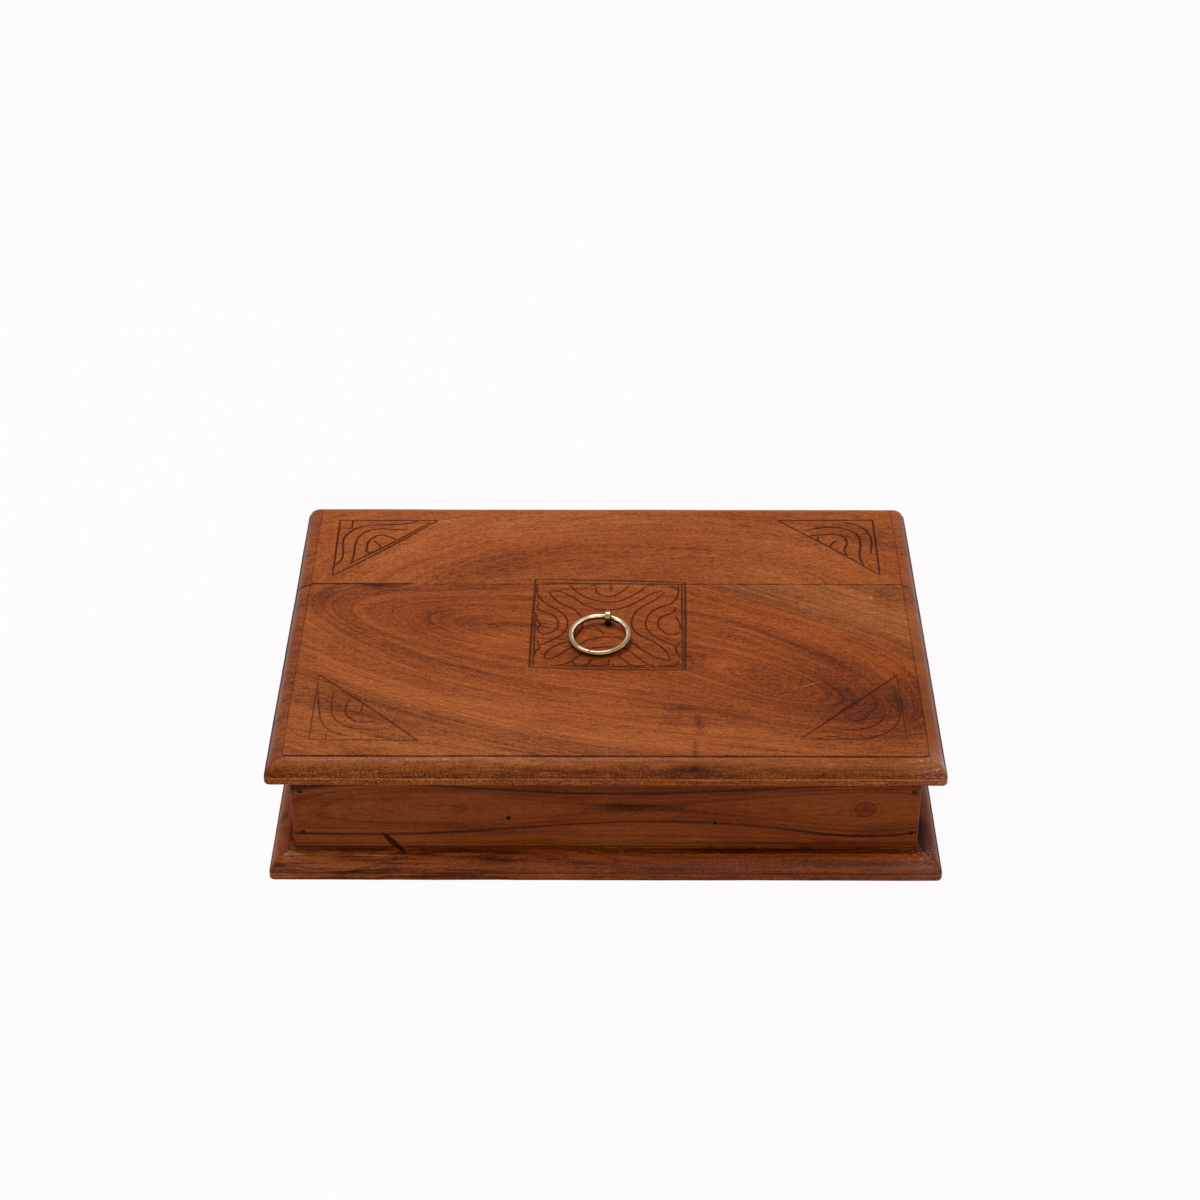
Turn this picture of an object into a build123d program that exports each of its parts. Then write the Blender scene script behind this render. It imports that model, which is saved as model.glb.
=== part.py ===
from build123d import *
from math import asin, degrees, hypot
import os

# A low wooden box for papers and keepsakes. Millimetres, +X along the box's length, +Y to the back,
# +Z up, with the origin under the middle of the base board.

# Lid and base boards
lid_width = 355.0
lid_depth = 253.0
lid_thickness = 12.5
base_width = 358.0
base_depth = 256.0
base_thickness = 12.5
board_corner_radius = 3.0
lid_seam_y = 40.2

# The moulding worked round both boards: a band, a small step, a broad round and a quirk below the flat
lid_band_height = 4.2
lid_moulding_width = 9.3
base_band_height = 5.0
base_moulding_width = 9.9
moulding_step_width = 0.6
moulding_step_height = 0.4
moulding_quirk_depth = 0.7
moulding_bulge = 0.17

# Walls and dividers
wall_inset = 11.5
wall_height = 50.7
wall_thickness = 9.0
wall_corner_radius = 1.5
lid_gap = 0.3
divider_thickness = 6.0
divider_height = 37.0
left_divider_x = -51.4
right_divider_x = 57.9

# Nails
nail_length = 25.0
nail_radius = 0.7
nail_head_radius = 1.25
nail_head_thickness = 0.6
nail_point = 2.0
nail_sink = 0.25
nail_clearance = 0.05
left_nail_inset = 5.2
right_nail_inset = 3.8
upper_nail_height = 37.5
lower_nail_height = 10.0
left_divider_nail_height = 19.8
right_divider_nail_height = 16.7
base_nail_x = 120.0
base_nail_y = 62.0

hole_mouth_height = 0.5

# Hinges: one leaf on the back wall, one under the lid's overhang
hinge_x = 110.0
hinge_length = 26.0
hinge_leaf_thickness = 1.0
hinge_body_leaf_width = 14.0
hinge_lid_leaf_width = 8.1
hinge_knuckle_radius = 2.1
hinge_gap = 0.3
hinge_pin_radius = 0.9
hinge_pin_head_radius = 1.4
hinge_pin_head_thickness = 0.5
pin_running_clearance = 0.05
pin_seat_clearance = 0.02
screw_length = 7.0
screw_radius = 0.75
screw_head_radius = 1.5
screw_head_height = 0.8
screw_head_rim = 0.15
screw_point = 1.5
screw_slot_width = 0.35
screw_slot_depth = 0.3
screw_clearance = 0.03
screw_spacing = 15.0

# Ring pull and the split eye that holds it
ring_radius = 15.85
ring_wire_radius = 1.6
ring_rest_gap = 0.3
ring_turn = 17.2
eye_x = 1.2
eye_y = 1.2
eye_turn = 8.0
eye_ring_play = 0.55
eye_strip_thickness = 1.25
eye_strip_width = 2.9
eye_strip_rounding = 0.45
eye_top_height = 8.3
eye_split = 0.2
eye_foot_length = 9.0
eye_hole_play = 0.22
ring_axis_drop = 0.35

# Sizes that follow from those above
body_width = lid_width - 2 * wall_inset
body_depth = lid_depth - 2 * wall_inset
wall_top = base_thickness + wall_height
lid_underside = wall_top + lid_gap
lid_top = lid_underside + lid_thickness
inner_depth = body_depth - 2 * wall_thickness
back_face_y = body_depth / 2
hinge_axis_y = back_face_y + hinge_knuckle_radius + hinge_gap
hinge_axis_z = lid_underside - hinge_knuckle_radius - hinge_gap
knuckle_length = (hinge_length - 2 * hinge_gap) / 3
eye_bore_radius = ring_wire_radius + eye_ring_play
eye_outer_radius = eye_bore_radius + eye_strip_thickness
eye_hole_radius = hypot(eye_strip_width / 2, eye_strip_thickness + eye_split / 2) + eye_hole_play
eye_centre_z = lid_top + eye_top_height - eye_outer_radius
ring_axis_z = eye_centre_z - ring_axis_drop


def block(x_low, x_high, y_low, y_high, z_low, z_high):
    """A rectangular piece between two corners."""
    size = (x_high - x_low, y_high - y_low, z_high - z_low)
    middle = ((x_low + x_high) / 2, (y_low + y_high) / 2, (z_low + z_high) / 2)
    return Pos(*middle) * Box(*size)


def moulding_waste(run, half_span, thickness, band_height, moulding_width):
    """The wood worked away along the front edge, as a bar that runs past both corners."""
    spare = 2.0
    edge_y = -half_span
    step_y = edge_y + moulding_step_width
    step_z = band_height + moulding_step_height
    quirk_y = edge_y + moulding_width
    quirk_z = thickness - moulding_quirk_depth
    over_z = thickness + spare
    rise = quirk_z - step_z
    reach = quirk_y - step_y
    crown = (
        (step_y + quirk_y) / 2 - moulding_bulge * rise,
        (step_z + quirk_z) / 2 + moulding_bulge * reach,
    )
    outline = Polyline(
        (quirk_y, quirk_z),
        (quirk_y, over_z),
        (edge_y - spare, over_z),
        (edge_y - spare, band_height),
        (step_y, band_height),
        (step_y, step_z),
    )
    round_face = ThreePointArc((step_y, step_z), crown, (quirk_y, quirk_z))
    profile = make_face(outline + round_face)
    return extrude(Plane.YZ * profile, amount=run / 2 + spare, both=True)


def moulded_board(width, depth, thickness, band_height, moulding_width):
    """A flat board, its underside at height 0, with the same moulding along all four edges."""
    blank = extrude(RectangleRounded(width, depth, board_corner_radius), amount=thickness)
    long_waste = moulding_waste(width, depth / 2, thickness, band_height, moulding_width)
    short_waste = moulding_waste(depth, width / 2, thickness, band_height, moulding_width)
    for turn in (0, 180):
        blank = blank - Rot(0, 0, turn) * long_waste
        blank = blank - Rot(0, 0, turn + 90) * short_waste
    return blank


def turned_fastener(length, radius, head_radius, head_height, head_rim, point):
    """A nail or screw along -Z, the top of its head at height 0."""
    outline = Polyline(
        (0, 0),
        (head_radius, 0),
        (head_radius, -head_rim),
        (radius, -head_height),
        (radius, point - length),
        (0, -length),
        close=True,
    )
    return revolve(Plane.XZ * make_face(outline), axis=Axis.Z)


def nail(grown=0.0):
    """A round-headed nail, or with grown above 0 the hole that it sits in."""
    return turned_fastener(
        nail_length + grown,
        nail_radius + grown,
        nail_head_radius + grown,
        nail_head_thickness + grown,
        nail_head_thickness + grown,
        nail_point,
    )


def screw(grown=0.0):
    """A countersunk screw, or with grown above 0 the hole that it sits in."""
    return turned_fastener(
        screw_length + grown,
        screw_radius + grown,
        screw_head_radius + grown,
        screw_head_height + grown,
        screw_head_rim + grown,
        screw_point,
    )


def slotted_screw():
    """A countersunk screw with its driving slot."""
    slot = Box(3 * screw_head_radius, screw_slot_width, 2 * screw_slot_depth)
    return screw() - slot


def open_hole(sunk, radius):
    """A fastener's hole, opened by a short cylinder over its head."""
    mouth = Cylinder(radius, hole_mouth_height, align=(Align.CENTER, Align.CENTER, Align.MIN))
    return sunk + mouth


def placed(shape, places):
    """One copy of a shape at each place."""
    return [place * shape for place in places]


def cut(piece, holes):
    """A piece with each hole cut from it."""
    for hole in holes:
        piece = piece - hole
    return piece


# Where each nail goes: its head's place and the way that it points
def front_nail(x, height):
    """A nail driven back through the front wall."""
    return Pos(x, nail_sink - back_face_y, base_thickness + height) * Rot(90, 0, 0)


def back_nail(x, height):
    """A nail driven forwards through the back wall."""
    return Pos(x, back_face_y - nail_sink, base_thickness + height) * Rot(-90, 0, 0)


def base_nail(x, y):
    """A nail driven up through the base board."""
    return Pos(x, y, nail_sink) * Rot(180, 0, 0)


left_nail_x = left_nail_inset - body_width / 2
right_nail_x = body_width / 2 - right_nail_inset
corner_places = [
    (left_nail_x, lower_nail_height),
    (left_nail_x, upper_nail_height),
    (right_nail_x, lower_nail_height),
    (right_nail_x, upper_nail_height),
]
divider_places = [
    (left_divider_x, left_divider_nail_height),
    (right_divider_x, right_divider_nail_height),
]
wall_middle_x = (body_width - wall_thickness) / 2
wall_middle_y = (body_depth - wall_thickness) / 2
base_places = []
for side in (-1, 1):
    for x in (-base_nail_x, 0.0, base_nail_x):
        base_places.append((x, side * wall_middle_y))
    for y in (-base_nail_y, base_nail_y):
        base_places.append((side * wall_middle_x, y))

front_corner_at = [front_nail(x, height) for x, height in corner_places]
back_corner_at = [back_nail(x, height) for x, height in corner_places]
divider_at = [front_nail(x, height) for x, height in divider_places]
divider_at += [back_nail(x, height) for x, height in divider_places]
base_at = [base_nail(x, y) for x, y in base_places]
nail_hole = open_hole(nail(nail_clearance), nail_head_radius + nail_clearance)
wood_holes = placed(nail_hole, front_corner_at + back_corner_at + divider_at + base_at)

# Where each hinge and its screws go
hinge_at = {"left": -hinge_x, "right": hinge_x}
body_leaf_low = hinge_axis_z - hinge_body_leaf_width
body_leaf_high = hinge_axis_z - hinge_knuckle_radius - hinge_gap
body_screw_z = (body_leaf_low + body_leaf_high) / 2
lid_leaf_near = hinge_axis_y + hinge_knuckle_radius + hinge_gap
lid_leaf_far = hinge_axis_y + hinge_lid_leaf_width
lid_screw_y = (lid_leaf_near + lid_leaf_far) / 2
body_screws_at = []
lid_screws_at = []
for middle in hinge_at.values():
    for side in (-1, 1):
        x = middle + side * screw_spacing / 2
        body_screws_at.append(Pos(x, back_face_y + hinge_leaf_thickness, body_screw_z) * Rot(-90, 0, 0))
        lid_screws_at.append(Pos(x, lid_screw_y, lid_underside - hinge_leaf_thickness) * Rot(180, 0, 0))
screw_hole = open_hole(screw(screw_clearance), screw_head_radius + screw_clearance)
body_screw_holes = placed(screw_hole, body_screws_at)
lid_screw_holes = placed(screw_hole, lid_screws_at)


# Box: base board, four walls and two dividers
def base_board():
    """The moulded board that the walls stand on."""
    board = moulded_board(base_width, base_depth, base_thickness, base_band_height, base_moulding_width)
    return cut(board, wood_holes)


def long_wall(side):
    """The front wall (side -1) or the back wall (side 1), which covers the ends of the side walls."""
    outer = side * back_face_y
    inner = side * (back_face_y - wall_thickness)
    wall = block(
        -body_width / 2, body_width / 2, min(outer, inner), max(outer, inner), base_thickness, wall_top
    )
    corners = wall.edges().filter_by(Axis.Z).group_by(Axis.Y)[0 if side < 0 else -1]
    wall = fillet(corners, wall_corner_radius)
    return cut(wall, wood_holes + body_screw_holes)


def side_wall(side):
    """The left wall (side -1) or the right wall (side 1), between the front and the back wall."""
    outer = side * body_width / 2
    inner = side * (body_width / 2 - wall_thickness)
    wall = block(
        min(outer, inner), max(outer, inner), -inner_depth / 2, inner_depth / 2, base_thickness, wall_top
    )
    return cut(wall, wood_holes)


def divider(middle_x):
    """A thin board across the inside, lower than the walls."""
    half = divider_thickness / 2
    top = base_thickness + divider_height
    board = block(middle_x - half, middle_x + half, -inner_depth / 2, inner_depth / 2, base_thickness, top)
    return cut(board, wood_holes)


# Hinges
def knuckle(start_x, bore_radius):
    """One barrel of a hinge, from start_x along the hinge's axis."""
    barrel = Cylinder(hinge_knuckle_radius, knuckle_length) - Cylinder(bore_radius, knuckle_length)
    return Pos(start_x + knuckle_length / 2, hinge_axis_y, hinge_axis_z) * Rot(0, 90, 0) * barrel


def knuckle_start(middle_x, number):
    """Where barrel 0, 1 or 2 of a hinge begins."""
    return middle_x - hinge_length / 2 + number * (knuckle_length + hinge_gap)


def body_leaf(middle_x):
    """The leaf on the back wall, with the two outer barrels."""
    half = hinge_length / 2
    wall_y = back_face_y
    leaf_y = wall_y + hinge_leaf_thickness
    leaf = block(middle_x - half, middle_x + half, wall_y, leaf_y, body_leaf_low, body_leaf_high)
    bore_radius = hinge_pin_radius + pin_seat_clearance
    bore = Pos(middle_x, hinge_axis_y, hinge_axis_z) * Rot(0, 90, 0) * Cylinder(bore_radius, 2 * hinge_length)
    for number in (0, 2):
        start = knuckle_start(middle_x, number)
        leaf = leaf + block(start, start + knuckle_length, wall_y, leaf_y, body_leaf_low, hinge_axis_z)
        leaf = leaf + knuckle(start, bore_radius)
    return cut(leaf - bore, body_screw_holes)


def lid_leaf(middle_x):
    """The leaf under the lid's overhang, with the middle barrel."""
    half = hinge_length / 2
    high = lid_underside
    low = high - hinge_leaf_thickness
    leaf = block(middle_x - half, middle_x + half, lid_leaf_near, lid_leaf_far, low, high)
    bore_radius = hinge_pin_radius + pin_running_clearance
    bore = Pos(middle_x, hinge_axis_y, hinge_axis_z) * Rot(0, 90, 0) * Cylinder(bore_radius, 2 * hinge_length)
    start = knuckle_start(middle_x, 1)
    leaf = leaf + block(start, start + knuckle_length, hinge_axis_y, lid_leaf_far, low, high)
    leaf = leaf + knuckle(start, bore_radius)
    return cut(leaf - bore, lid_screw_holes)


def hinge_pin(middle_x):
    """The pin through a hinge's three barrels, with a small head at each end."""
    head = Cylinder(hinge_pin_head_radius, hinge_pin_head_thickness)
    head_offset = (hinge_length + hinge_pin_head_thickness) / 2
    pin = Cylinder(hinge_pin_radius, hinge_length)
    pin = pin + Pos(0, 0, head_offset) * head + Pos(0, 0, -head_offset) * head
    return Pos(middle_x, hinge_axis_y, hinge_axis_z) * Rot(0, 90, 0) * pin


# Lid: two boards glued edge to edge, the split eye and the ring
def lid_board():
    """The whole moulded lid before it is parted at the seam."""
    board = moulded_board(lid_width, lid_depth, lid_thickness, lid_band_height, lid_moulding_width)
    eye_hole = Pos(eye_x, eye_y, 0) * Cylinder(eye_hole_radius, 3 * lid_thickness)
    board = Pos(0, 0, lid_underside) * (board - eye_hole)
    return cut(board, lid_screw_holes)


def ring_eye():
    """A strip folded round the ring, its legs through the lid and bent over underneath."""
    leg_width = 2 * eye_strip_thickness + eye_split
    leg_bottom = lid_underside - eye_strip_thickness
    leg_length = eye_centre_z - leg_bottom
    leg = Pos(0, leg_bottom + leg_length / 2) * Rectangle(leg_width, leg_length)
    foot = Pos(0, leg_bottom + eye_strip_thickness / 2) * Rectangle(2 * eye_foot_length, eye_strip_thickness)
    bore = Pos(0, eye_centre_z) * Circle(eye_bore_radius)
    loop = Pos(0, eye_centre_z) * Circle(eye_outer_radius)
    split = Pos(0, leg_bottom + leg_length / 2) * Rectangle(eye_split, leg_length + eye_strip_thickness)
    outline = loop + leg + foot - bore - split
    strip = extrude(Plane.YZ * outline, amount=eye_strip_width / 2, both=True)
    loop_rims = [
        edge
        for edge in strip.edges().filter_by(GeomType.CIRCLE)
        if edge.radius > eye_bore_radius + eye_strip_thickness / 2
    ]
    strip = fillet(loop_rims, eye_strip_rounding)
    return Pos(eye_x, eye_y, 0) * Rot(0, 0, -eye_turn) * strip


def ring_pull():
    """The ring, threaded through the eye, its front lying on the lid."""
    drop = ring_axis_z - (lid_top + ring_rest_gap + ring_wire_radius)
    tilt = degrees(asin(drop / (2 * ring_radius)))
    ring = Pos(0, -ring_radius, 0) * Torus(ring_radius, ring_wire_radius)
    return Pos(eye_x, eye_y, ring_axis_z) * Rot(0, 0, -ring_turn) * Rot(tilt, 0, 0) * ring


lid = lid_board()
pieces = {
    "base_board": [base_board()],
    "front_wall": [long_wall(-1)],
    "back_wall": [long_wall(1)],
    "left_wall": [side_wall(-1)],
    "right_wall": [side_wall(1)],
    "left_divider": [divider(left_divider_x)],
    "right_divider": [divider(right_divider_x)],
    "front_corner_nails": placed(nail(), front_corner_at),
    "back_corner_nails": placed(nail(), back_corner_at),
    "divider_nails": placed(nail(), divider_at),
    "base_nails": placed(nail(), base_at),
    "lid_front_board": [split(lid, Plane.XZ.offset(-lid_seam_y), keep=Keep.TOP)],
    "lid_rear_board": [split(lid, Plane.XZ.offset(-lid_seam_y), keep=Keep.BOTTOM)],
    "hinge_body_screws": placed(slotted_screw(), body_screws_at),
    "hinge_lid_screws": placed(slotted_screw(), lid_screws_at),
    "ring_eye": [ring_eye()],
    "ring_pull": [ring_pull()],
}
for name, middle in hinge_at.items():
    pieces[name + "_hinge_body_leaf"] = [body_leaf(middle)]
    pieces[name + "_hinge_lid_leaf"] = [lid_leaf(middle)]
    pieces[name + "_hinge_pin"] = [hinge_pin(middle)]

os.makedirs("parts", exist_ok=True)
for node, solids in pieces.items():
    shape = solids[0] if len(solids) == 1 else Compound(children=solids)
    export_step(shape, f"parts/{node}.step")
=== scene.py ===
# %% [markdown]
# # A carved wooden box for papers and keepsakes
# This notebook gives a measured box its looks. The measured model comes first and stays where it is: it says
# where each board, nail and hinge sits. Every board is then modelled again here with soft, worn edges, the
# lid gets its carving, and each surface gets its own wood, iron or brass.

# %% Load the measured model
import math

import bmesh
import bpy
from mathutils import Matrix, Vector, noise


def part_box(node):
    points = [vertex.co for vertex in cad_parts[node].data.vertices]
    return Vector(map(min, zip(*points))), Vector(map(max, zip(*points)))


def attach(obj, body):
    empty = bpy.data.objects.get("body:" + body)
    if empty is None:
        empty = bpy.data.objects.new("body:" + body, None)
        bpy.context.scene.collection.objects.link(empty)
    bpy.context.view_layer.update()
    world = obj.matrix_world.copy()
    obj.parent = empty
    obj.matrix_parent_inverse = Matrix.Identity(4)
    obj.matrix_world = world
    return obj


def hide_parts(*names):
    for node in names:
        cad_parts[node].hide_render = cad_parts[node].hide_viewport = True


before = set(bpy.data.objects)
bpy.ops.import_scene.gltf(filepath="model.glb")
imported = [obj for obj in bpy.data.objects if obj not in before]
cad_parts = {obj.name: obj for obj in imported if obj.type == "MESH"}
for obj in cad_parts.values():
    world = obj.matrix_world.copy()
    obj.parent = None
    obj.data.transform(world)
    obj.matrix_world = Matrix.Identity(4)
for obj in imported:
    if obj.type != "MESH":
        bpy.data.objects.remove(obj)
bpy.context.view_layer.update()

print("parts in the measured model:", len(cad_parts))

# %% [markdown]
# Lengths below are written in millimetres, as a joiner would, and `mm` turns them into Blender's metres. The
# corners of each measured part are read once, so that a new piece goes exactly where the old one is.

# %% Millimetres and the places of the measured parts
mm = 0.001


def span(node):
    """A measured part's lowest and highest corner, in millimetres."""
    low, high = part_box(node)
    return Vector(low) / mm, Vector(high) / mm


def around(points):
    """The lowest and the highest corner of the box round some points."""
    columns = list(zip(*points))
    return Vector(map(min, columns)), Vector(map(max, columns))


def joined_span(*nodes):
    """The lowest and highest corner of several measured parts together."""
    return around(corner for node in nodes for corner in span(node))


lid_low, lid_high = joined_span("lid_front_board", "lid_rear_board")
base_low, base_high = span("base_board")
wall_low, wall_high = joined_span("front_wall", "back_wall", "left_wall", "right_wall")
seam_y = span("lid_rear_board")[0].y
print("lid", tuple(round(size, 1) for size in lid_high - lid_low), "seam at", round(seam_y, 1))

# %% [markdown]
# ## Camera
# The picture was taken from the front and above with a fairly long lens, so the box's edges hardly converge.
# The camera stands where the lid's and the base's corners fall in the same places as in the picture.

# %% Camera
camera_place = Vector((1.83, -1169.75, 904.75)) * mm
camera_pitch = math.radians(90 - 34.762)
camera_yaw = math.radians(0.254)
camera_roll = math.radians(-0.053)
sensor_width = 36.0
picture_width = 1200
focal_pixels = 2577.8

bpy.ops.object.camera_add(location=camera_place)
camera = bpy.context.object
camera.name = "photo_camera"
turn = Matrix.Rotation(camera_yaw, 4, "Z") @ Matrix.Rotation(camera_pitch, 4, "X")
turn = turn @ Matrix.Rotation(camera_roll, 4, "Z")
camera.rotation_euler = turn.to_euler()
camera.data.sensor_width = sensor_width
camera.data.lens = focal_pixels * sensor_width / picture_width
camera.data.clip_start = 0.01
bpy.context.scene.camera = camera
print("lens", round(camera.data.lens, 1), "mm")

# %% [markdown]
# ## Shader maths
# A procedural material is a sum of many small patterns. Wiring them by hand in the node editor is slow to
# read, so one small class wraps a node's output: `a + b` adds a Math node, and `node` adds any other node,
# with its settings first and its sockets after.

# %% A wire that does maths
any_depth = 1e6


def sum_with(operation, swapped=False):
    """A method that adds one Math node, with the wire first or, when swapped, the other value first."""
    return lambda wire, other: wire.math(operation, *((other, wire) if swapped else (wire, other)))


class Wire:
    """One output of a material's nodes. Sums with it add Math nodes to the material."""

    def __init__(self, tree, socket=None):
        self.tree = tree
        self.socket = socket

    def node(self, kind, settings=None, inputs=None, output=0):
        """Adds a node: its settings, then a value or a wire for each socket by name or number."""
        made = self.tree.nodes.new(kind)
        for name, value in (settings or {}).items():
            if name == "stops":
                ramp = made.color_ramp
                while len(ramp.elements) < len(value):
                    ramp.elements.new(1.0)
                for element, (position, colour) in zip(ramp.elements, value):
                    element.position = position
                    element.color = (*colour, 1.0)
            elif name == "blend":
                made.color_ramp.interpolation = value
            else:
                setattr(made, name, value)
        for name, value in (inputs or {}).items():
            if isinstance(value, Wire):
                self.tree.links.new(value.socket, made.inputs[name])
            else:
                made.inputs[name].default_value = value
        return Wire(self.tree, made.outputs[output])

    def math(self, operation, *values):
        return self.node("ShaderNodeMath", {"operation": operation}, dict(enumerate(values)))

    __add__ = __radd__ = sum_with("ADD")
    __sub__ = sum_with("SUBTRACT")
    __rsub__ = sum_with("SUBTRACT", swapped=True)
    __mul__ = __rmul__ = sum_with("MULTIPLY")
    __truediv__ = sum_with("DIVIDE")
    __rpow__ = sum_with("POWER", swapped=True)
    least = sum_with("MINIMUM")
    most = sum_with("MAXIMUM")

    def __abs__(self):
        return self.math("ABSOLUTE", self)

    def rise(self, start, end):
        """0 up to start and 1 from end on, with a soft step between; start may be above end."""
        inputs = {"Value": self, "From Min": start, "From Max": end}
        return self.node("ShaderNodeMapRange", {"interpolation_type": "SMOOTHSTEP"}, inputs)

    def between(self, low, high, soft):
        """1 from low to high, falling to 0 over soft on both sides."""
        return self.rise(low - soft, low) * self.rise(high + soft, high)

    def noise(self, along, across, detail=2.0, roughness=0.5, distortion=0.0, deep=None, output=0):
        """Soft noise around 0.5 on a vector wire, with so many waves per unit along x and across it."""
        waves = (along, across, deep or across)
        inputs = {
            "Vector": self.node("ShaderNodeMapping", None, {"Vector": self, "Scale": waves}),
            "Scale": 1.0,
            "Detail": detail,
            "Roughness": roughness,
            "Distortion": distortion,
        }
        return self.node("ShaderNodeTexNoise", None, inputs, output)

    def vector(self, operation, *values):
        """Vector maths. Lengths, distances and dot products come out as plain numbers."""
        output = "Value" if operation in ("LENGTH", "DISTANCE", "DOT_PRODUCT") else "Vector"
        return self.node("ShaderNodeVectorMath", {"operation": operation}, dict(enumerate(values)), output)

    def seen_from(self, x, y, units, turn=0.0):
        """A vector wire measured from a point, along turned axes, with its own unit for each axis."""
        inputs = {"Vector": self, "Location": (x, y, 0), "Rotation": (0, 0, turn), "Scale": units}
        return self.node("ShaderNodeMapping", {"vector_type": "TEXTURE"}, inputs)

    def spot(self, x, y, long, wide, turn=0.0):
        """A soft oval spot on a vector wire: 1 at its middle, falling off over its two radii."""
        place = self.seen_from(x, y, (long, wide, any_depth), turn)
        return (1 / math.e) ** place.vector("DOT_PRODUCT", place, place)

    def mix(self, first, second):
        """Colour mixed from first to second by this wire."""
        return self.node("ShaderNodeMix", {"data_type": "RGBA"}, {0: self, 6: first, 7: second}, 2)

    def tinted(self, tint):
        """This wire's colour multiplied by another colour."""
        settings = {"data_type": "RGBA", "blend_type": "MULTIPLY"}
        return self.node("ShaderNodeMix", settings, {0: 1.0, 6: self, 7: tint}, 2)

    def split(self):
        """The x, y and z of a vector wire."""
        parts = self.tree.nodes.new("ShaderNodeSeparateXYZ")
        self.tree.links.new(self.socket, parts.inputs[0])
        return [Wire(self.tree, part) for part in parts.outputs]

    def join(self, x, y, z):
        return self.node("ShaderNodeCombineXYZ", None, {0: x, 1: y, 2: z})


def new_material(name):
    """An empty material, its shader and its Object coordinates in millimetres."""
    material = bpy.data.materials.new(name)
    material.use_nodes = True
    tree = material.node_tree
    tree.nodes.clear()
    wire = Wire(tree)
    output = tree.nodes.new("ShaderNodeOutputMaterial")
    shader = tree.nodes.new("ShaderNodeBsdfPrincipled")
    tree.links.new(shader.outputs[0], output.inputs[0])
    place = wire.node("ShaderNodeTexCoord", None, None, "Object")
    place = wire.node("ShaderNodeMapping", None, {"Vector": place, "Scale": (1 / mm, 1 / mm, 1 / mm)})
    return material, shader, place


def feed(shader, socket, value):
    """Gives one socket of the shader a wire or a plain value."""
    if isinstance(value, Wire):
        value.tree.links.new(value.socket, shader.inputs[socket])
    else:
        shader.inputs[socket].default_value = value


# %% [markdown]
# ## Light, world and floor
# A plain studio: a wide soft lamp overhead and a little behind, which leaves the ring's shadow in front of
# it, weaker ones in front and at both sides, and even light from all round. The background is white only for
# rays that reach the camera or are mirrored, so its white adds no light to the box.

# %% World
paper_white = (0.991, 0.973, 0.982, 1.0)
sky_light = 0.42

world = bpy.data.worlds.new("studio")
bpy.context.scene.world = world
world.use_nodes = True
sky = world.node_tree
sky.nodes.clear()
sky_wire = Wire(sky)


def seen_directly(wire):
    """1 on rays from the camera and on mirrored or transmitted ones, and 0 on those that light things."""
    ray = "ShaderNodeLightPath"
    camera_ray = wire.node(ray, None, None, "Is Camera Ray")
    glossy_ray = wire.node(ray, None, None, "Is Glossy Ray")
    transmitted_ray = wire.node(ray, None, None, "Is Transmission Ray")
    return camera_ray.most(glossy_ray).most(transmitted_ray)


lit = sky_wire.node("ShaderNodeBackground", None, {"Color": (1, 1, 1, 1), "Strength": sky_light})
seen = sky_wire.node("ShaderNodeBackground", None, {"Color": paper_white, "Strength": 1.0})
both = sky_wire.node("ShaderNodeMixShader", None, {0: seen_directly(sky_wire), 1: lit, 2: seen})
sky.links.new(both.socket, sky.nodes.new("ShaderNodeOutputWorld").inputs[0])

# %% Lamps: place and size in metres, and watts
lamp_target = Vector((0, 0, 0.05))
lamps = {
    "overhead_softbox": ((-0.25, 0.45, 1.5), (0.8, 0.6), 12.8),
    "front_softbox": ((0.35, -1.9, 0.9), (1.6, 1.0), 5.5),
    "right_softbox": ((1.3, -0.15, 0.65), (0.3, 0.3), 0.7),
    "left_softbox": ((-1.3, -0.5, 0.65), (0.3, 0.3), 0.5),
}
for name, (place, size, power) in lamps.items():
    bpy.ops.object.light_add(type="AREA", location=place)
    lamp = bpy.context.object
    lamp.name = name
    lamp.data.shape = "RECTANGLE"
    lamp.data.size, lamp.data.size_y = size
    lamp.data.energy = power
    lamp.rotation_euler = (lamp_target - Vector(place)).to_track_quat("-Z", "Y").to_euler()
print("lamps:", *lamps)

# %% Floor
floor_size = 12.0
floor_colour = (0.80, 0.79, 0.795, 1.0)
floor_own_share = 0.98

bpy.ops.mesh.primitive_plane_add(size=floor_size, location=(0, 0, 0))
floor = bpy.context.object
floor.name = "floor"
floor_material, floor_shader, floor_place = new_material("plain_floor")
feed(floor_shader, "Base Color", floor_colour)
feed(floor_shader, "Roughness", 0.9)
feed(floor_shader, "Specular IOR Level", 0.0)
floor_tree = floor_material.node_tree
white = floor_place.node("ShaderNodeEmission", None, {"Color": paper_white, "Strength": 1.0})
share = seen_directly(floor_place) * floor_own_share
surface = Wire(floor_tree, floor_shader.outputs[0])
paper = floor_place.node("ShaderNodeMixShader", None, {0: share, 1: surface, 2: white})
floor_tree.links.new(paper.socket, floor_tree.nodes["Material Output"].inputs[0])
floor.data.materials.append(floor_material)
bpy.context.scene.view_settings.view_transform = "Standard"

# %% [markdown]
# ## Wood
# A flat-sawn board shows its growth layers as a map shows hills: wherever the saw cut a bulge in a layer,
# nested ovals appear. So each board gets a height map, made of a tilt and a few long hills or of nested
# arches, and the colour follows that height. Everything finer has one recipe, stronger on one board and
# weaker on the next: short fibres and pores along the grain, cloudy patches and a fine fleck. The bump is
# kept to the depth of open pores under a thin varnish.

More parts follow.
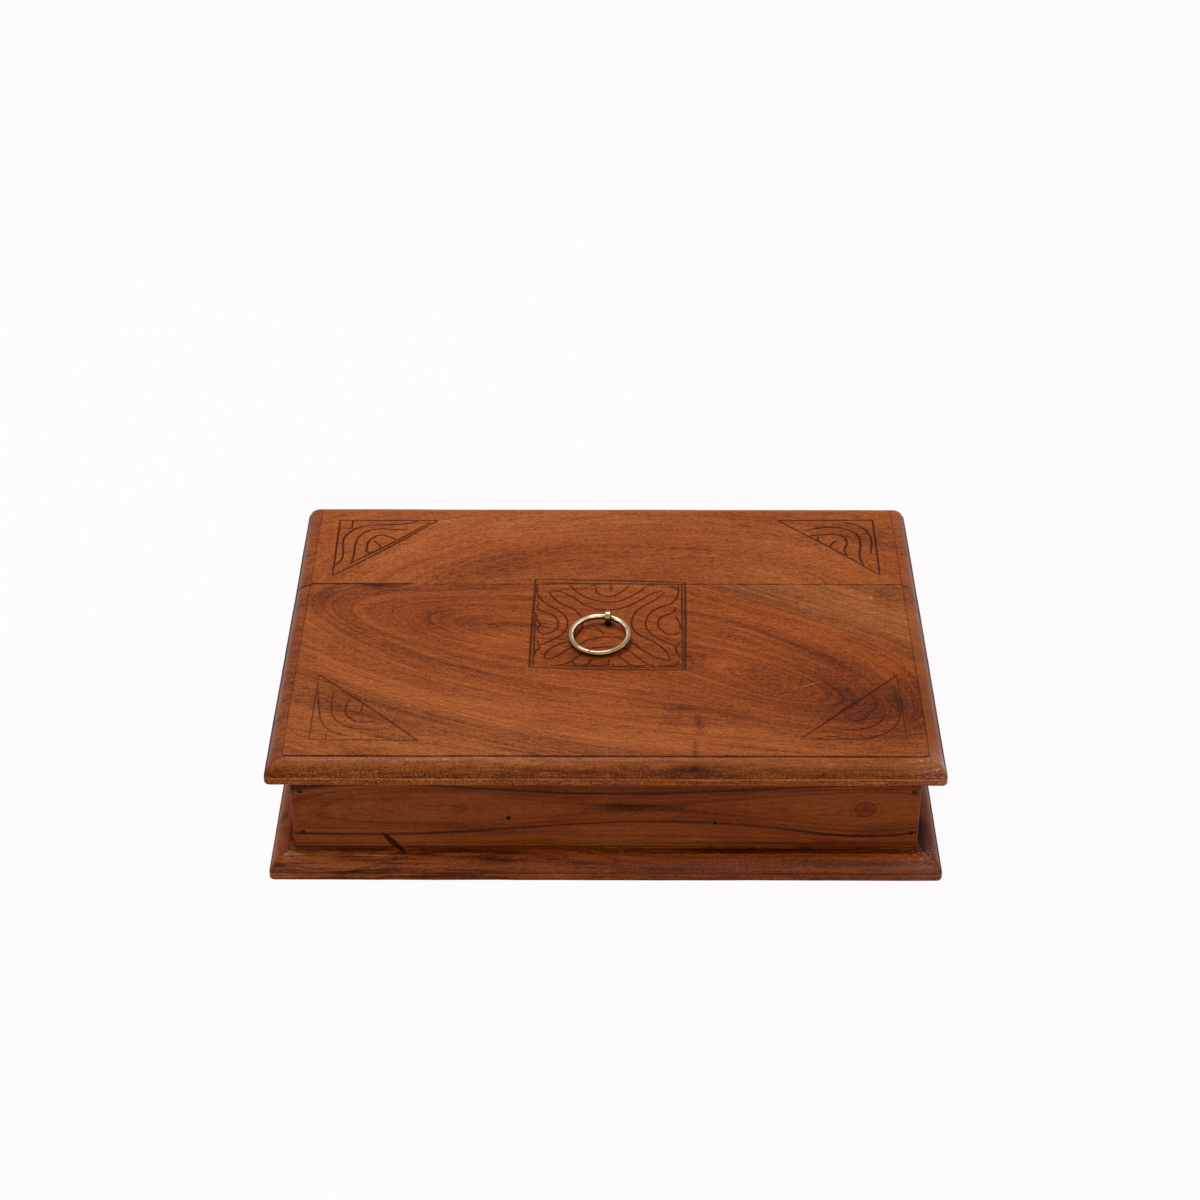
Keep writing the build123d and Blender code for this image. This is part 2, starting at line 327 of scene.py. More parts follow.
# %% Wood colours, from the darkest growth line to the palest fibre
wood_colours = [
    (0.00, (0.018, 0.0040, 0.0012)),
    (0.22, (0.080, 0.0150, 0.0025)),
    (0.40, (0.185, 0.0390, 0.0060)),
    (0.55, (0.305, 0.0720, 0.0135)),
    (0.75, (0.440, 0.1240, 0.0300)),
    (1.00, (0.640, 0.2500, 0.1000)),
]
redder = (1.0, 0.88, 0.72, 1.0)
yellower = (1.0, 1.20, 1.50, 1.0)
golden = (1.12, 1.05, 0.35, 1.0)
# Dark colour for real dirt and dark joints, and for shade painted into creases, sunk lines and recesses.
dirt_and_shade_colour = (0.050, 0.0090, 0.0030, 1.0)
varnish_level = 0.04
thin_varnish = 0.03
varnish_roughness = 0.16
depth_slope = 0.9
seed_step = Vector((613, 271, 97))
faces = {"xy": (0, 1, 2), "xz": (0, 2, 1), "yz": (1, 2, 0)}


def bent(flat, along, across, amount):
    """A vector wire pushed about by soft noise, so that no growth line is perfectly smooth."""
    centred = flat.vector("SUBTRACT", flat.noise(along, across, output="Color"), (0.5, 0.5, 0.5))
    return flat.vector("ADD", flat, flat.vector("MULTIPLY", centred, amount))


def hilly(tilt, hills):
    """Growth layers as a height map: a level with a slope each way, and long hills or hollows on it."""
    level, slope_across, slope_up = tilt

    def height(flat):
        across, up, deep = flat.split()
        total = across * slope_across + up * slope_up + deep * depth_slope + level
        for x, y, turn, long, wide, rise in hills:
            total = total + flat.spot(x, y, long, wide, turn) * rise
        return total

    return height


def arched(x, y, stretch):
    """Growth layers as nested arches round one point, longer than they are wide."""

    def height(flat):
        from_heart = flat.seen_from(x, y, (stretch, 1, any_depth))
        return flat.vector("LENGTH", from_heart) + flat.split()[2] * depth_slope

    return height


def wood(
    name, face, surface, layers, bands, seed, marks, stains=(), fleck=1.0, figure=1.0, sway=1.0, shade=1.0,
    hue=0.2, levels=140, follow=1.0, calm=None,
):
    """A varnished wood for one board, whose shown face looks along one axis and lies at a level on it.

    Bands give the tone at each height of the growth layers, up to levels. Fleck and figure say how strong
    the short dashes and the fine layers are, sway how far the layers wander, follow how closely the dashes
    keep to them, and calm between which heights the fine layers come in.
    """
    material, shader, place = new_material(name)
    axes = place.split()
    across, up, deep = (axes[axis] for axis in faces[face])
    flat = place.join(across, up, deep - surface)
    shifted = flat.vector("ADD", flat, seed_step * seed)

    wavy = bent(flat, 0.012, 0.03, (0, 6 * sway, 2 * sway))
    height = layers(bent(wavy, 0.07, 0.2, (0, 1.8 * sway, sway)))
    stops = [(level / levels, (grey,) * 3) for level, grey in bands]
    tone = flat.node("ShaderNodeValToRGB", {"stops": stops, "blend": "EASE"}, {0: height / levels})
    contour = flat.join(height * (48 / levels), across * 0.012, deep * 0.2 + seed * 37.0)
    fine_layers = contour.noise(1, 1, 4.0, 0.65)
    thin_lines = contour.noise(1.9, 1.6, deep=1).rise(0.54, 0.62)

    strength = shifted.noise(0.012, 0.024, 1.0)
    fibre = shifted.noise(0.045, 0.7, 3.0, 0.6)
    flow = flat.join(across * 0.22 + seed * 61.0, up * 0.45, height * follow + deep * 0.4)
    dash = flow.noise(1, 1, 2.0, 0.55, 0.2)
    fine_dash = shifted.noise(0.75, 1.9, 1.0)
    cloud = shifted.noise(0.012, 0.028)

    value = (tone - 0.5) * (strength * 0.7 + 0.75) + 0.5
    if calm:
        figure = (height.rise(*calm) * 0.75 + 0.25) * figure
    value = value + ((fine_layers - 0.5) * 0.58 - thin_lines * strength * 0.16) * figure
    value = value + (fibre - 0.5) * 0.30 - dash.rise(0.48, 0.68) * (0.15 * fleck)
    value = value + (fine_dash - 0.5) * (0.62 * fleck) + 0.045 * fleck + (cloud - 0.5) * 0.18
    for x, y, long, wide, turn, change in stains:
        value = value + flat.spot(x, y, long, wide, turn) * change

    found = {"value": value, "hue": (cloud - 0.5) * 0.6 + hue, "varnish": 0.0}
    found.update(marks(place, height, found))
    tint = found["hue"].mix(redder, yellower)
    if "gold" in found:
        tint = found["gold"].mix(tint, golden)
    colour = flat.node("ShaderNodeValToRGB", {"stops": wood_colours}, {0: found["value"]})
    colour = colour.tinted(tint.tinted((shade, shade, shade, 1.0)))
    # Real dirt and painted shade pull the colour towards the dark colour here.
    feed(shader, "Base Color", found["dirt"].mix(colour, dirt_and_shade_colour))
    feed(shader, "Roughness", (fibre - 0.5) * 0.3 + fine_dash * 0.1 + found["dirt"] * 0.25 + 0.36)
    feed(shader, "Specular IOR Level", varnish_level)
    feed(shader, "Coat Weight", found["varnish"] + thin_varnish)
    feed(shader, "Coat Roughness", varnish_roughness)
    relief = (fibre - 0.5) * 0.05 + (fine_dash - 0.5) * 0.04 + (dash - 0.5) * 0.04
    bump = flat.node("ShaderNodeBump", None, {"Strength": 0.7, "Distance": mm, "Height": relief})
    feed(shader, "Normal", bump)
    return material


# %% [markdown]
# The lid's front board has its growth layers bulging along a diagonal, with a dark heart at the left and a
# dark swirl round a knot at the lower right. The rear board comes from another place in the log: its layers
# arch over a point just below the seam.

# %% The lid's two woods
lid_top = lid_high.z
lid_moulding = 9.3
lid_band = 4.2
lid_band_top = lid_low.z + lid_band
front_moulding_tone = 0.525
right_moulding_tone = 0.54
eye_x = 1.2
eye_y = 1.2


def from_edges(x, y, corner):
    """How far in a point is from the side edges, from the long edges and from the nearest edge."""
    side_edge = corner.x - abs(x)
    long_edge = corner.y - abs(y)
    return side_edge, long_edge, side_edge.least(long_edge)


def band_lines(z, edge, band_top):
    """Painted shade just over a moulding's band, and a painted highlight along the band's top edge."""
    crease_shade = z.between(band_top + 0.02, band_top + 0.5, 0.12) * edge.rise(1.4, 0.9)
    arris_highlight = z.between(band_top - 0.5, band_top - 0.1, 0.15) * edge.rise(0.9, 0.6)
    return crease_shade, arris_highlight


def seam_marks(place, x, y):
    """Dirt in the seam between the boards, and the pale filler along its left part."""
    from_seam = abs(y - seam_y)
    left_end = x.rise(-106, -112)
    filler = x.between(-108, -64, 3)
    blots = place.noise(0.11, 0.3).rise(0.46, 0.60)
    dirt = (from_seam - left_end * 0.35 - blots * 0.25).rise(0.55, 0.15)
    dirt = dirt * (blots.most(left_end) * 0.5 + 0.5) * (1 - filler * 0.75)
    pale = from_seam.rise(0.5, 0.1) * filler * place.noise(0.5, 2).rise(0.42, 0.6)
    return dirt, pale


def lid_marks(place, height, found):
    """Dirt in the seam, stain and painted shade in the carving and the sunk lines, painted shade over the
    band and at the eye's foot, and the moulding's tones, gold, gloss and painted glint specks.
    """
    x, y, z = place.split()
    side_edge, long_edge, edge = from_edges(x, y, lid_high)
    crease_shade, arris_highlight = band_lines(z, edge, lid_band_top)
    seam, pale = seam_marks(place, x, y)
    value, hue = found["value"], found["hue"]

    # The sunk line below the flat is darkened by its depth: painted shade.
    sunk = z.between(lid_top - 3.0, lid_top - 0.20, 0.17)
    beside = (long_edge - side_edge).rise(-0.5, 0.5) * edge.rise(lid_moulding + 1.0, lid_moulding + 0.5)
    uneven = place.noise(0.09, 0.3).rise(0.30, 0.62) * 0.5 + 0.4
    line = edge.between(lid_moulding - 0.5, lid_moulding + 0.6, 0.15)
    sunk_line = line * sunk * (1 - beside * 0.5) * uneven
    # The carved grooves are darkened by their depth: pooled stain and painted shade.
    carved = edge.rise(lid_moulding + 1.0, lid_moulding + 1.4) * sunk
    carved = carved * (y.rise(38, 46) * 0.10 + y.rise(-48, -43) * 0.16 + 0.62)
    # A painted shadow round the foot of the ring's eye.
    eye_foot_shadow = place.spot(eye_x, eye_y - 0.8, 4.6, 2.6).rise(0.2, 0.6)
    dirt = (sunk_line * 0.8).most(carved).most(seam * 0.9).most(crease_shade * uneven * 0.6).most(eye_foot_shadow * 0.6)

    moulded = edge.rise(lid_moulding, lid_moulding - 1.0) * z.rise(lid_low.z + 0.1, lid_low.z + 0.4)
    side_face = moulded * (long_edge - side_edge).rise(-0.4, 0.4)
    front = moulded * (side_edge - long_edge).rise(-0.4, 0.4) * y.rise(0, -10)
    right = side_face * x.rise(0, 10) * y.rise(seam_y, seam_y - 60)
    low_part = edge.rise(3.4, 0.8)
    # The steep outer part of the moulding is darkened as painted shade.
    steep_shade = edge.rise(4.6, 1.6) * z.rise(lid_band_top + 0.4, lid_band_top + 0.8)
    steep_shade = steep_shade * (place.noise(0.03, 0.2) * 0.9 + 0.5)
    curl = place.noise(1.6, 1.9, 2.0, 0.6, 1.2)
    grain = place.noise(0.05, 0.8, 2.0, 0.6)
    rough = front * (x.rise(60, -120) * 0.8 + low_part * 1.3 + 0.7)
    flat_tones = (front_moulding_tone - value) * front * 0.6 + (right_moulding_tone - value) * right * 0.6
    value = value + flat_tones + (curl - 0.5) * rough
    value = value + (grain - 0.5) * front * (low_part * 0.3 + 0.45) - front * low_part * 0.015
    value = value - side_face * (side_edge.rise(2.6, 0.9) * 0.10 + x.rise(0, -10) * 0.09)
    # Painted shade on the steep part, and a painted highlight along the band's top edge.
    value = value - steep_shade * 0.13 + arris_highlight * 0.24 + pale * 0.35
    hue = hue + (0.85 - low_part * 0.75 - hue) * front + (0.5 - hue) * right

    # Pale yellow specks near the front right corner: painted glints of the varnish.
    fine = place.noise(0.4, 1.0, 2.0, 0.6).rise(0.54, 0.62)
    painted_glints = place.spot(171, -121, 11, 7) * moulded * fine
    on_band = z.rise(lid_band_top + 0.3, lid_band_top - 0.1) * front
    gold = front * (low_part * 0.42 + x.rise(60, -60) * 0.12 + 0.03) * (1 - painted_glints) * (1 - on_band * 0.35)
    gloss = side_face * side_edge.between(2.3, 3.0, 0.6) * y.rise(120, 60)
    varnish = moulded * 0.03 + place.spot(173, -121, 12, 12) * 0.45 + gloss * 0.20
    return {
        "value": value + painted_glints * 0.5 - on_band * 0.04,
        "dirt": dirt,
        "hue": hue + painted_glints * 0.8,
        "gold": gold,
        "varnish": varnish - side_face * side_edge.rise(2.4, 1.6) * 0.06,
    }


def front_board_marks(place, height, found):
    """The front board's own growth lines and turns from red to yellow brown, and the lid's marks."""
    x, y, z = place.split()
    beyond = (x * 0.45 + y).rise(8, 20) * x.rise(20, 40)
    upper = beyond * height.rise(49.0, 52.0)
    inner = beyond * height.rise(52.0, 49.0)
    lower = (1 - beyond) * height.rise(90, 97)
    hue = height.rise(8, 88) * 0.32 + 0.02 + lower * 0.22 + upper * 0.46 - inner * 0.18
    dark_line = beyond * height.between(30, 32, 1.0) * 0.10
    light_line = beyond * height.between(47.5, 49.5, 0.8) * 0.06
    value = found["value"] - dark_line + light_line
    return lid_marks(place, height, {"value": value, "hue": hue})


front_board_hills = [
    (-61.5, -1.3, -0.23, 90.4, 21.9, -40.2),
    (-17.5, -29.9, -0.104, 220.0, 83.2, -61.0),
    (102.2, -62.9, -0.439, 68.1, 24.0, -44.1),
    (-177.7, -49.5, -0.469, 168.6, 20.6, 11.9),
    (168.4, 35.2, -0.485, 203.4, 47.8, 69.3),
]
front_board_bands = [
    (0, 0.475), (5, 0.485), (15, 0.465), (20, 0.465), (24, 0.495), (30, 0.49), (36, 0.51), (40, 0.52),
    (45, 0.49), (48.5, 0.51), (50.5, 0.45), (55, 0.46), (58, 0.49), (61, 0.54), (64, 0.545), (69, 0.52),
    (73, 0.56), (77, 0.58), (88, 0.585), (91, 0.57), (94, 0.53), (97, 0.48), (103, 0.465), (107, 0.49),
    (113, 0.505), (120, 0.535),
]
front_board_stains = [
    (145, -68, 55, 35, 0.0, -0.10), (21, 5, 80, 40, 0.4, 0.05), (-18, -23, 24, 6, -0.8, -0.05),
    (-60, -16, 8, 21, 1.36, 0.07), (0, -99, 20, 45, 0.0, 0.04), (156, -37, 14, 7, -0.9, 0.08),
    (64, -38, 13, 25, -0.3, 0.07), (-54, 0, 30, 5, -0.1, -0.12), (-88, 10, 14, 7, -0.3, -0.04),
    (122, -57, 15, 7, -0.7, -0.12), (40, -77, 7, 4.5, 0.0, -0.15), (36, -89, 6, 6, 0.0, -0.10),
    (49, -90, 3.0, 8, 0.1, -0.20), (46.5, -112, 1.2, 12, 0.0, -0.18), (158, -64, 5, 20, 0.15, -0.10),
    (165, -80, 12, 26, 0.0, -0.07), (-159, 26, 9, 9, -0.5, -0.14), (-128, 37, 12, 3.5, -0.1, -0.14),
    (157, 28, 6, 14, 0.3, -0.12), (152, 30, 26, 8, 1.2, 0.03), (-165, -30, 60, 8, -1.0, -0.05),
    (148, -88, 18, 22, 0.0, -0.05), (46, -124, 12, 1.8, 0.0, -0.55), (-14, -118.6, 2.2, 0.8, 0.0, -0.3),
    (110.5, -55, 6.0, 0.45, 0.45, 0.35), (-126.6, -53, 0.6, 0.6, 0.0, 0.4), (149.5, 27, 0.7, 0.5, 0.0, 0.5),
    (-28.9, -47, 0.9, 0.5, 0.5, 0.35), (-105, -74, 0.6, 0.5, 0.0, 0.35),
]
lid_front_wood = wood(
    "lid_front_wood", "xy", lid_top, hilly((80.1, -0.157, -0.358), front_board_hills), front_board_bands, 1,
    front_board_marks, front_board_stains, sway=0.6, follow=2.3,
)

rear_board_bands = [
    (0, 0.54), (38, 0.54), (46, 0.57), (52, 0.55), (60, 0.52), (66, 0.56), (74, 0.58), (78, 0.53),
    (81, 0.56), (90, 0.58), (96, 0.56), (104, 0.58), (140, 0.58),
]
rear_board_stains = [
    (151, 92, 36, 13, -0.35, -0.10), (-44, 108, 83, 17, 0.4, 0.07), (136, 59, 40, 12, -0.44, 0.06),
    (-95, 99, 80, 8, 0.9, 0.05), (-18, 60, 90, 14, 0.07, -0.06), (-19, 50, 26, 14, -1.0, 0.05),
    (-84, 44, 38, 11, 0.6, -0.04), (148, 86, 26, 2.2, -0.45, -0.14),
]
lid_rear_wood = wood(
    "lid_rear_wood", "xy", lid_top, arched(22, 20, 2.0), rear_board_bands, 2, lid_marks, rear_board_stains,
    fleck=1.05, figure=0.55, sway=1.6, shade=0.945, hue=0.22,
)
print("lid woods:", lid_front_wood.name, lid_rear_wood.name)

# %% [markdown]
# ## Modelling helpers
# Pieces are made the way they would be by hand: a primitive is added, parts of it are picked, and edit-mode
# tools shape them. In a script the picking is done by asking each face or edge where it is.

# %% Picking and shaping
def only(piece):
    """Makes one object the selected and active one."""
    if bpy.context.object and bpy.context.object.mode != "OBJECT":
        bpy.ops.object.mode_set(mode="OBJECT")
    bpy.ops.object.select_all(action="DESELECT")
    piece.select_set(True)
    bpy.context.view_layer.objects.active = piece
    return piece


def edit(piece):
    only(piece)
    bpy.ops.object.mode_set(mode="EDIT")


def done():
    bpy.ops.object.mode_set(mode="OBJECT")


def pick(piece, kind, test):
    """In edit mode, picks the vertices, edges or faces that pass a test on the millimetre mesh."""
    bpy.ops.mesh.select_mode(type=kind)
    bpy.ops.mesh.select_all(action="DESELECT")
    mesh = bmesh.from_edit_mesh(piece.data)
    parts = {"VERT": mesh.verts, "EDGE": mesh.edges, "FACE": mesh.faces}[kind]
    found = [part for part in parts if test(part)]
    for part in found:
        part.select_set(True)
    mesh.select_flush_mode()
    bmesh.update_edit_mesh(piece.data)
    return len(found)


def along(edge, axis):
    """Whether an edge runs along an axis for more than a centimetre."""
    way = edge.verts[1].co - edge.verts[0].co
    return abs(way[axis]) > 10 * mm and abs(way[axis]) > 0.98 * way.length


def block(name, low, high):
    """A cuboid between two corners in millimetres, its object at the origin."""
    low, high = Vector(low), Vector(high)
    bpy.ops.mesh.primitive_cube_add(size=1, location=(low + high) / 2 * mm, scale=(high - low) * mm)
    piece = bpy.context.object
    piece.name = name
    return settle(piece)


def settle(piece):
    """Puts an object's place, turn and scale into its mesh."""
    only(piece)
    bpy.ops.object.transform_apply(location=True, rotation=True, scale=True)
    return piece


def modify(piece, kind, **settings):
    """Adds a modifier with its settings and applies it."""
    only(piece)
    modifier = piece.modifiers.new(kind.lower(), kind)
    for name, value in settings.items():
        setattr(modifier, name, value)
    bpy.ops.object.modifier_apply(modifier=modifier.name)


def cut_away(piece, tool):
    """Cuts a tool's shape out of a piece and throws the tool away."""
    modify(piece, "BOOLEAN", object=tool, operation="DIFFERENCE", solver="MANIFOLD")
    bpy.data.objects.remove(tool)


def finish_piece(piece, material, body, nodes, smooth_angle=35):
    """Smooth shading, the finish, and the piece's place in the frame."""
    only(piece)
    bpy.ops.object.shade_smooth_by_angle(angle=math.radians(smooth_angle))
    modify(piece, "WEIGHTED_NORMAL", keep_sharp=True, weight=80)
    piece.data.materials.clear()
    piece.data.materials.append(material)
    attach(piece, body)
    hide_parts(*nodes)
    print(piece.name, "faces:", len(piece.data.polygons))


# %% [markdown]
# ## The moulded boards
# The lid and the base have the same moulding on all four edges: a flat band, a little step, a broad round and
# a narrow sunk line below the flat. A cuboid as high as the band is added, its upright corners are bevelled,
# and then its top face is extruded and scaled again and again, so that each ring is one line of the moulding.
# The corners come out rubbed round all the way up, as they are on the box.

# %% A moulded board
round_steps = 9
round_swell = 0.17
step_inset = 0.78
step_rise = 0.42
sunk_half_width = 0.12
corner_radius = 3.0
corner_steps = 5
bottom_start = 0.45
band_start = 0.35
bottom_rings = [(0.12, 0.12), (0.45, 0.0)]
long_cuts = 70
short_cuts = 50
drift_amount = 0.16
drift_seed = 1

# Unseeded, the vector noise takes its start from the clock and the lines would wander anew on each run.
noise.seed_set(drift_seed)


def moulding_rings(thickness, band, width, sink):
    """Each line of the moulding above the band, as its distance in from the edge and its height."""
    rings = [(0.10, band - 0.12), (0.35, band), (0.66, band + 0.02), (step_inset, band + step_rise)]
    start = Vector((step_inset, band + step_rise))
    end = Vector((width - 0.35, thickness - sink + 0.23))
    chord = end - start
    swell = Vector((-chord.y, chord.x)) * round_swell
    for step in range(1, round_steps + 1):
        share = step / round_steps
        rings.append(tuple(start + chord * share + swell * (4 * share * (1 - share))))
    rings += [(width - sunk_half_width, thickness - sink), (width + sunk_half_width, thickness - sink * 0.9)]
    rings += [(width + 0.20, thickness - sink * 0.2), (width + 0.55, thickness)]
    return rings


def stack(size, height, rings):
    """Extrudes the picked face from ring to ring, and scales it to each ring's size."""
    last = size
    for inset, rise in rings:
        new = size - Vector((2 * inset, 2 * inset))
        bpy.ops.mesh.extrude_region_move(TRANSFORM_OT_translate={"value": (0, 0, (rise - height) * mm)})
        bpy.ops.transform.resize(value=(new.x / last.x, new.y / last.y, 1), center_override=(0, 0, 0))
        last, height = new, rise


def moulded_board(name, low, high, band, width, sink):
    """A board between two corners with the moulding along its four edges."""
    size = high - low
    bottom = (low.x, low.y, low.z + bottom_start)
    board = block(name, bottom, (high.x, high.y, low.z + band - band_start))
    edit(board)
    pick(board, "EDGE", lambda edge: abs((edge.verts[0].co - edge.verts[1].co).z) > mm)
    bpy.ops.mesh.bevel(offset=corner_radius * mm, segments=corner_steps)
    top_rings = moulding_rings(size.z, band, width, sink)
    for up, start, rings in ((1, band - band_start, top_rings), (-1, bottom_start, bottom_rings)):
        pick(board, "FACE", lambda face: face.normal.z * up > 0.9)
        stack(size.xy, start, rings)
    for axis, cuts in ((0, long_cuts), (1, short_cuts)):
        pick(board, "EDGE", lambda edge: along(edge, axis))
        bpy.ops.mesh.subdivide(number_cuts=cuts)
    done()
    return board


def weather(piece, low, high):
    """Hand work is never quite straight: the lines wander a little, and never past the board's box."""
    for vertex in piece.data.vertices:
        place = vertex.co / mm
        drift = noise.noise_vector(place * 0.022) * drift_amount
        drift += noise.noise_vector(place * 0.11) * drift_amount * 0.55
        if abs(place.z - high.z) < 0.01 or abs(place.z - low.z) < 0.01:
            drift.z = 0
        place += drift
        for axis in range(3):
            place[axis] = min(max(place[axis], low[axis]), high[axis])
        vertex.co = place * mm


# %% [markdown]
# ## The lid
# The lid is one moulded panel of two boards, glued along a seam. It is modelled whole and bisected at the
# seam, and each half gets its share of the carving.

# %% The lid's panel, parted at the seam
seam_cuts = 110
seam_bevel = 0.34
panel = moulded_board("lid_panel", lid_low, lid_high, lid_band, lid_moulding, 0.9)
weather(panel, lid_low, lid_high)


def half_of(panel, name, y, side):
    """A copy of the panel's half in front of (side -1) or behind (side 1) a line."""
    only(panel)
    bpy.ops.object.duplicate()
    half = bpy.context.object
    half.name = name
    edit(half)
    bpy.ops.mesh.select_all(action="SELECT")
    bpy.ops.mesh.bisect(
        plane_co=(0, y * mm, 0), plane_no=(0, side, 0), use_fill=True, clear_inner=True, clear_outer=False,
    )

    def at_seam(edge):
        return all(abs(vertex.co.y - y * mm) < 0.01 * mm for vertex in edge.verts)

    pick(half, "EDGE", lambda edge: at_seam(edge) and along(edge, 0))
    bpy.ops.mesh.subdivide(number_cuts=seam_cuts)
    pick(half, "EDGE", at_seam)
    bpy.ops.mesh.bevel(offset=seam_bevel * mm, segments=1)
    done()
    for vertex in half.data.vertices:
        place = vertex.co / mm
        if 0.01 < abs(place.y - y) < 0.5 and place.z > lid_top - 0.01:
            ragged = noise.noise((place.x * 0.3, side, 0)) * 0.16
            ragged += noise.noise((place.x * 0.06, side, 5)) * 0.12
            vertex.co.y += side * max(ragged, -0.12) * mm
    return half


front_board = half_of(panel, "carved_front_board", seam_y, -1)
rear_board = half_of(panel, "carved_rear_board", seam_y, 1)
bpy.data.objects.remove(panel)
print("front board", [round(size / mm, 1) for size in front_board.dimensions])

# %% [markdown]
# ## Carving
# The ornament is a square of four leaves with arches between them, and a quarter of the same pattern in each
# corner. Someone cut it freehand with a small gouge, so no two leaves match. Each stroke is a smooth curve
# through a few points, given a round section, and cut out of the board. The ends are thinner, where the tool
# came up.

# %% Strokes of the carving, in millimetres on the lid
square_strokes = [
    [(-40.2, 44.9), (-10, 44.1), (20, 43.2), (45.2, 42.2)],
    [(45.0, 42.2), (44.4, 10), (43.6, -20), (43.1, -42.2)],
    [(43.2, -42.0), (10, -41.9), (-15, -41.2), (-41.6, -39.6)],
    [(-41.6, -39.6), (-41.3, -10), (-40.6, 20), (-40.2, 45.0)],
    [(43.1, 41.0), (42.7, 20), (42.2, -10), (41.7, -40.4)],
    [(40.8, -39.6), (10, -39.5), (-10, -38.9), (-30, -38.2)],
    [(-39.4, 12), (-39.5, -10), (-39.6, -37.8)],
    [(-38.6, 41.6), (-10, 41.0), (12, 40.4), (42.2, 40.0)],
    [(-31.5, 33.5), (-27, 33), (-20, 28), (-10, 18), (0, 14.5), (10, 17), (20, 25), (27, 31.5), (32, 33)],
    [(33, 32), (28, 25), (18, 15), (14.5, 5), (14.2, 0), (16, -6), (20, -11), (28, -18), (33, -25),
     (35, -33)],
    [(35, -34), (28, -31), (22, -26), (14, -17), (8, -13), (-1, -11.8), (-10, -14.5), (-15, -19)],
    [(-15, -19), (-21, -23.5), (-27, -29.5), (-31, -31.6), (-34, -31)],
    [(-32, 32), (-30, 27), (-25, 20.5), (-18, 15), (-14, 8), (-13, 2), (-14, -5), (-17, -11), (-20, -15)],
    [(-20, -15), (-28, -20), (-33, -27), (-34, -31)],
    [(-20, 38), (-17, 33), (-10, 26), (-3, 23), (2, 22), (8, 23.5), (15, 29), (20, 34), (22.5, 38)],
    [(-39, 38), (-39, 31), (-36, 24), (-30, 17), (-25, 12), (-22, 6), (-21.5, 0), (-23, -7), (-27, -12)],
    [(-27, -12), (-33, -17), (-36, -18.5), (-38, -15)],
    [(41, 39), (41, 33), (39.5, 26), (36, 20.5), (30, 17), (25, 12), (22.5, 5), (22, 0), (24, -7), (29, -13)],
    [(29, -13), (35, -17.5), (38, -21), (39, -26)],
    [(-27, -38), (-22, -36.5), (-18, -33), (-13, -27), (-9, -23), (-3, -21), (5, -21), (12, -24), (17, -30)],
    [(17, -30), (22, -36), (26, -38.5)],
    [(-6, 37), (-5, 32), (-2, 29), (2, 28), (6, 30), (10, 34), (13, 39)],
    [(2.7, 33), (2.7, 39)],
    [(-38, 22), (-38.5, 17), (-36, 13), (-31, 10.5), (-28, 7), (-26.5, 2), (-27, -2), (-30, -7), (-34, -9)],
    [(-38.5, 10), (-38.5, 5), (-36, 2), (-33, 1.5)],
    [(39, 17), (38, 13), (35, 10.5), (31, 8), (29, 3), (29, -1), (31, -5), (35, -9), (38, -9), (41, -6)],
    [(41, -5), (41.2, 0), (40, 5), (38.6, 9)],
    [(7, -29), (9, -32), (12, -36), (14, -38.6)],
    [(-8.3, -32), (-9.7, -36.6), (-13.0, -38.4), (-16.3, -37.4), (-18.6, -34.8)],
    [(0.6, -36.8), (-1.2, -38.2), (-6.0, -38.2), (-8.2, -36.4)],
    [(12.6, -38.0), (10.0, -38.7), (5.0, -38.4), (2.6, -36.8)],
    [(23.2, -37.0), (20.2, -38.4), (15.6, -38.4), (14.0, -37.4)],
    [(39.8, -33.5), (38.6, -37.6), (33.0, -38.4), (27.5, -38.0)],
    [(-38.2, 3.0), (-36.4, 0.6), (-38.0, -2.6), (-37.4, -6.0), (-34.4, -8.6)],
    [(-37.8, -18.8), (-36.5, -21.8), (-38.4, -24.4), (-38.8, -29)],
    [(41.0, -16.8), (38.8, -20.4), (38.4, -24), (39.6, -27.5)],
    [(36.2, 38.2), (39.2, 36.8), (40.4, 34.0)],
    [(1.5, -33), (1.2, -39)],
    [(-8, 0), (-4, -4), (-1, -9)],
]
back_left_strokes = [
    [(-157.0, 106.8), (-156.8, 80), (-156.5, 48.5)],
    [(-157.2, 106.5), (-130, 106.3), (-99.5, 106.5)],
    [(-156.4, 48.6), (-128, 76), (-99.6, 106.3)],
    [(-148, 60.5), (-126, 81), (-104, 104)],
    [(-149.5, 105.8), (-149.5, 98)],
    [(-155, 98), (-149, 98)],
    [(-156, 59), (-153, 64), (-152.5, 73), (-153.5, 82), (-153, 88), (-150, 94), (-145, 99), (-139, 101.5)],
    [(-139, 101.5), (-125, 102), (-117, 103), (-111, 105.5)],
    [(-147, 61), (-146, 70), (-146, 82), (-144, 90), (-139, 95.5), (-133, 97.2), (-125, 96.5), (-116, 96.5)],
    [(-133, 74), (-138, 72.5), (-139, 78), (-138.5, 84), (-136, 88), (-133, 90.5), (-128, 89.5), (-123, 86)],
    [(-135.5, 84.5), (-132, 80), (-131, 76)],
]
back_right_strokes = [
    [(157.0, 107.6), (156.8, 80), (156.5, 50)],
    [(157.2, 107.4), (130, 107.2), (101, 107)],
    [(156.4, 50.2), (130, 78), (101.2, 106.8)],
    [(140, 105), (147, 102.5), (151, 98), (154, 91), (154.5, 84), (153, 72)],
    [(117, 96), (125, 99), (137, 99), (143, 96), (147, 90.5), (148, 84), (147, 75), (146.5, 66), (148, 60)],
    [(117, 90), (126, 91.5), (133, 92), (138, 90), (140, 86), (139.5, 80), (138, 75), (139.5, 70)],
    [(124, 90), (123.5, 86), (126, 82.5)],
    [(134, 85.5), (131, 81.5), (130, 78)],
]
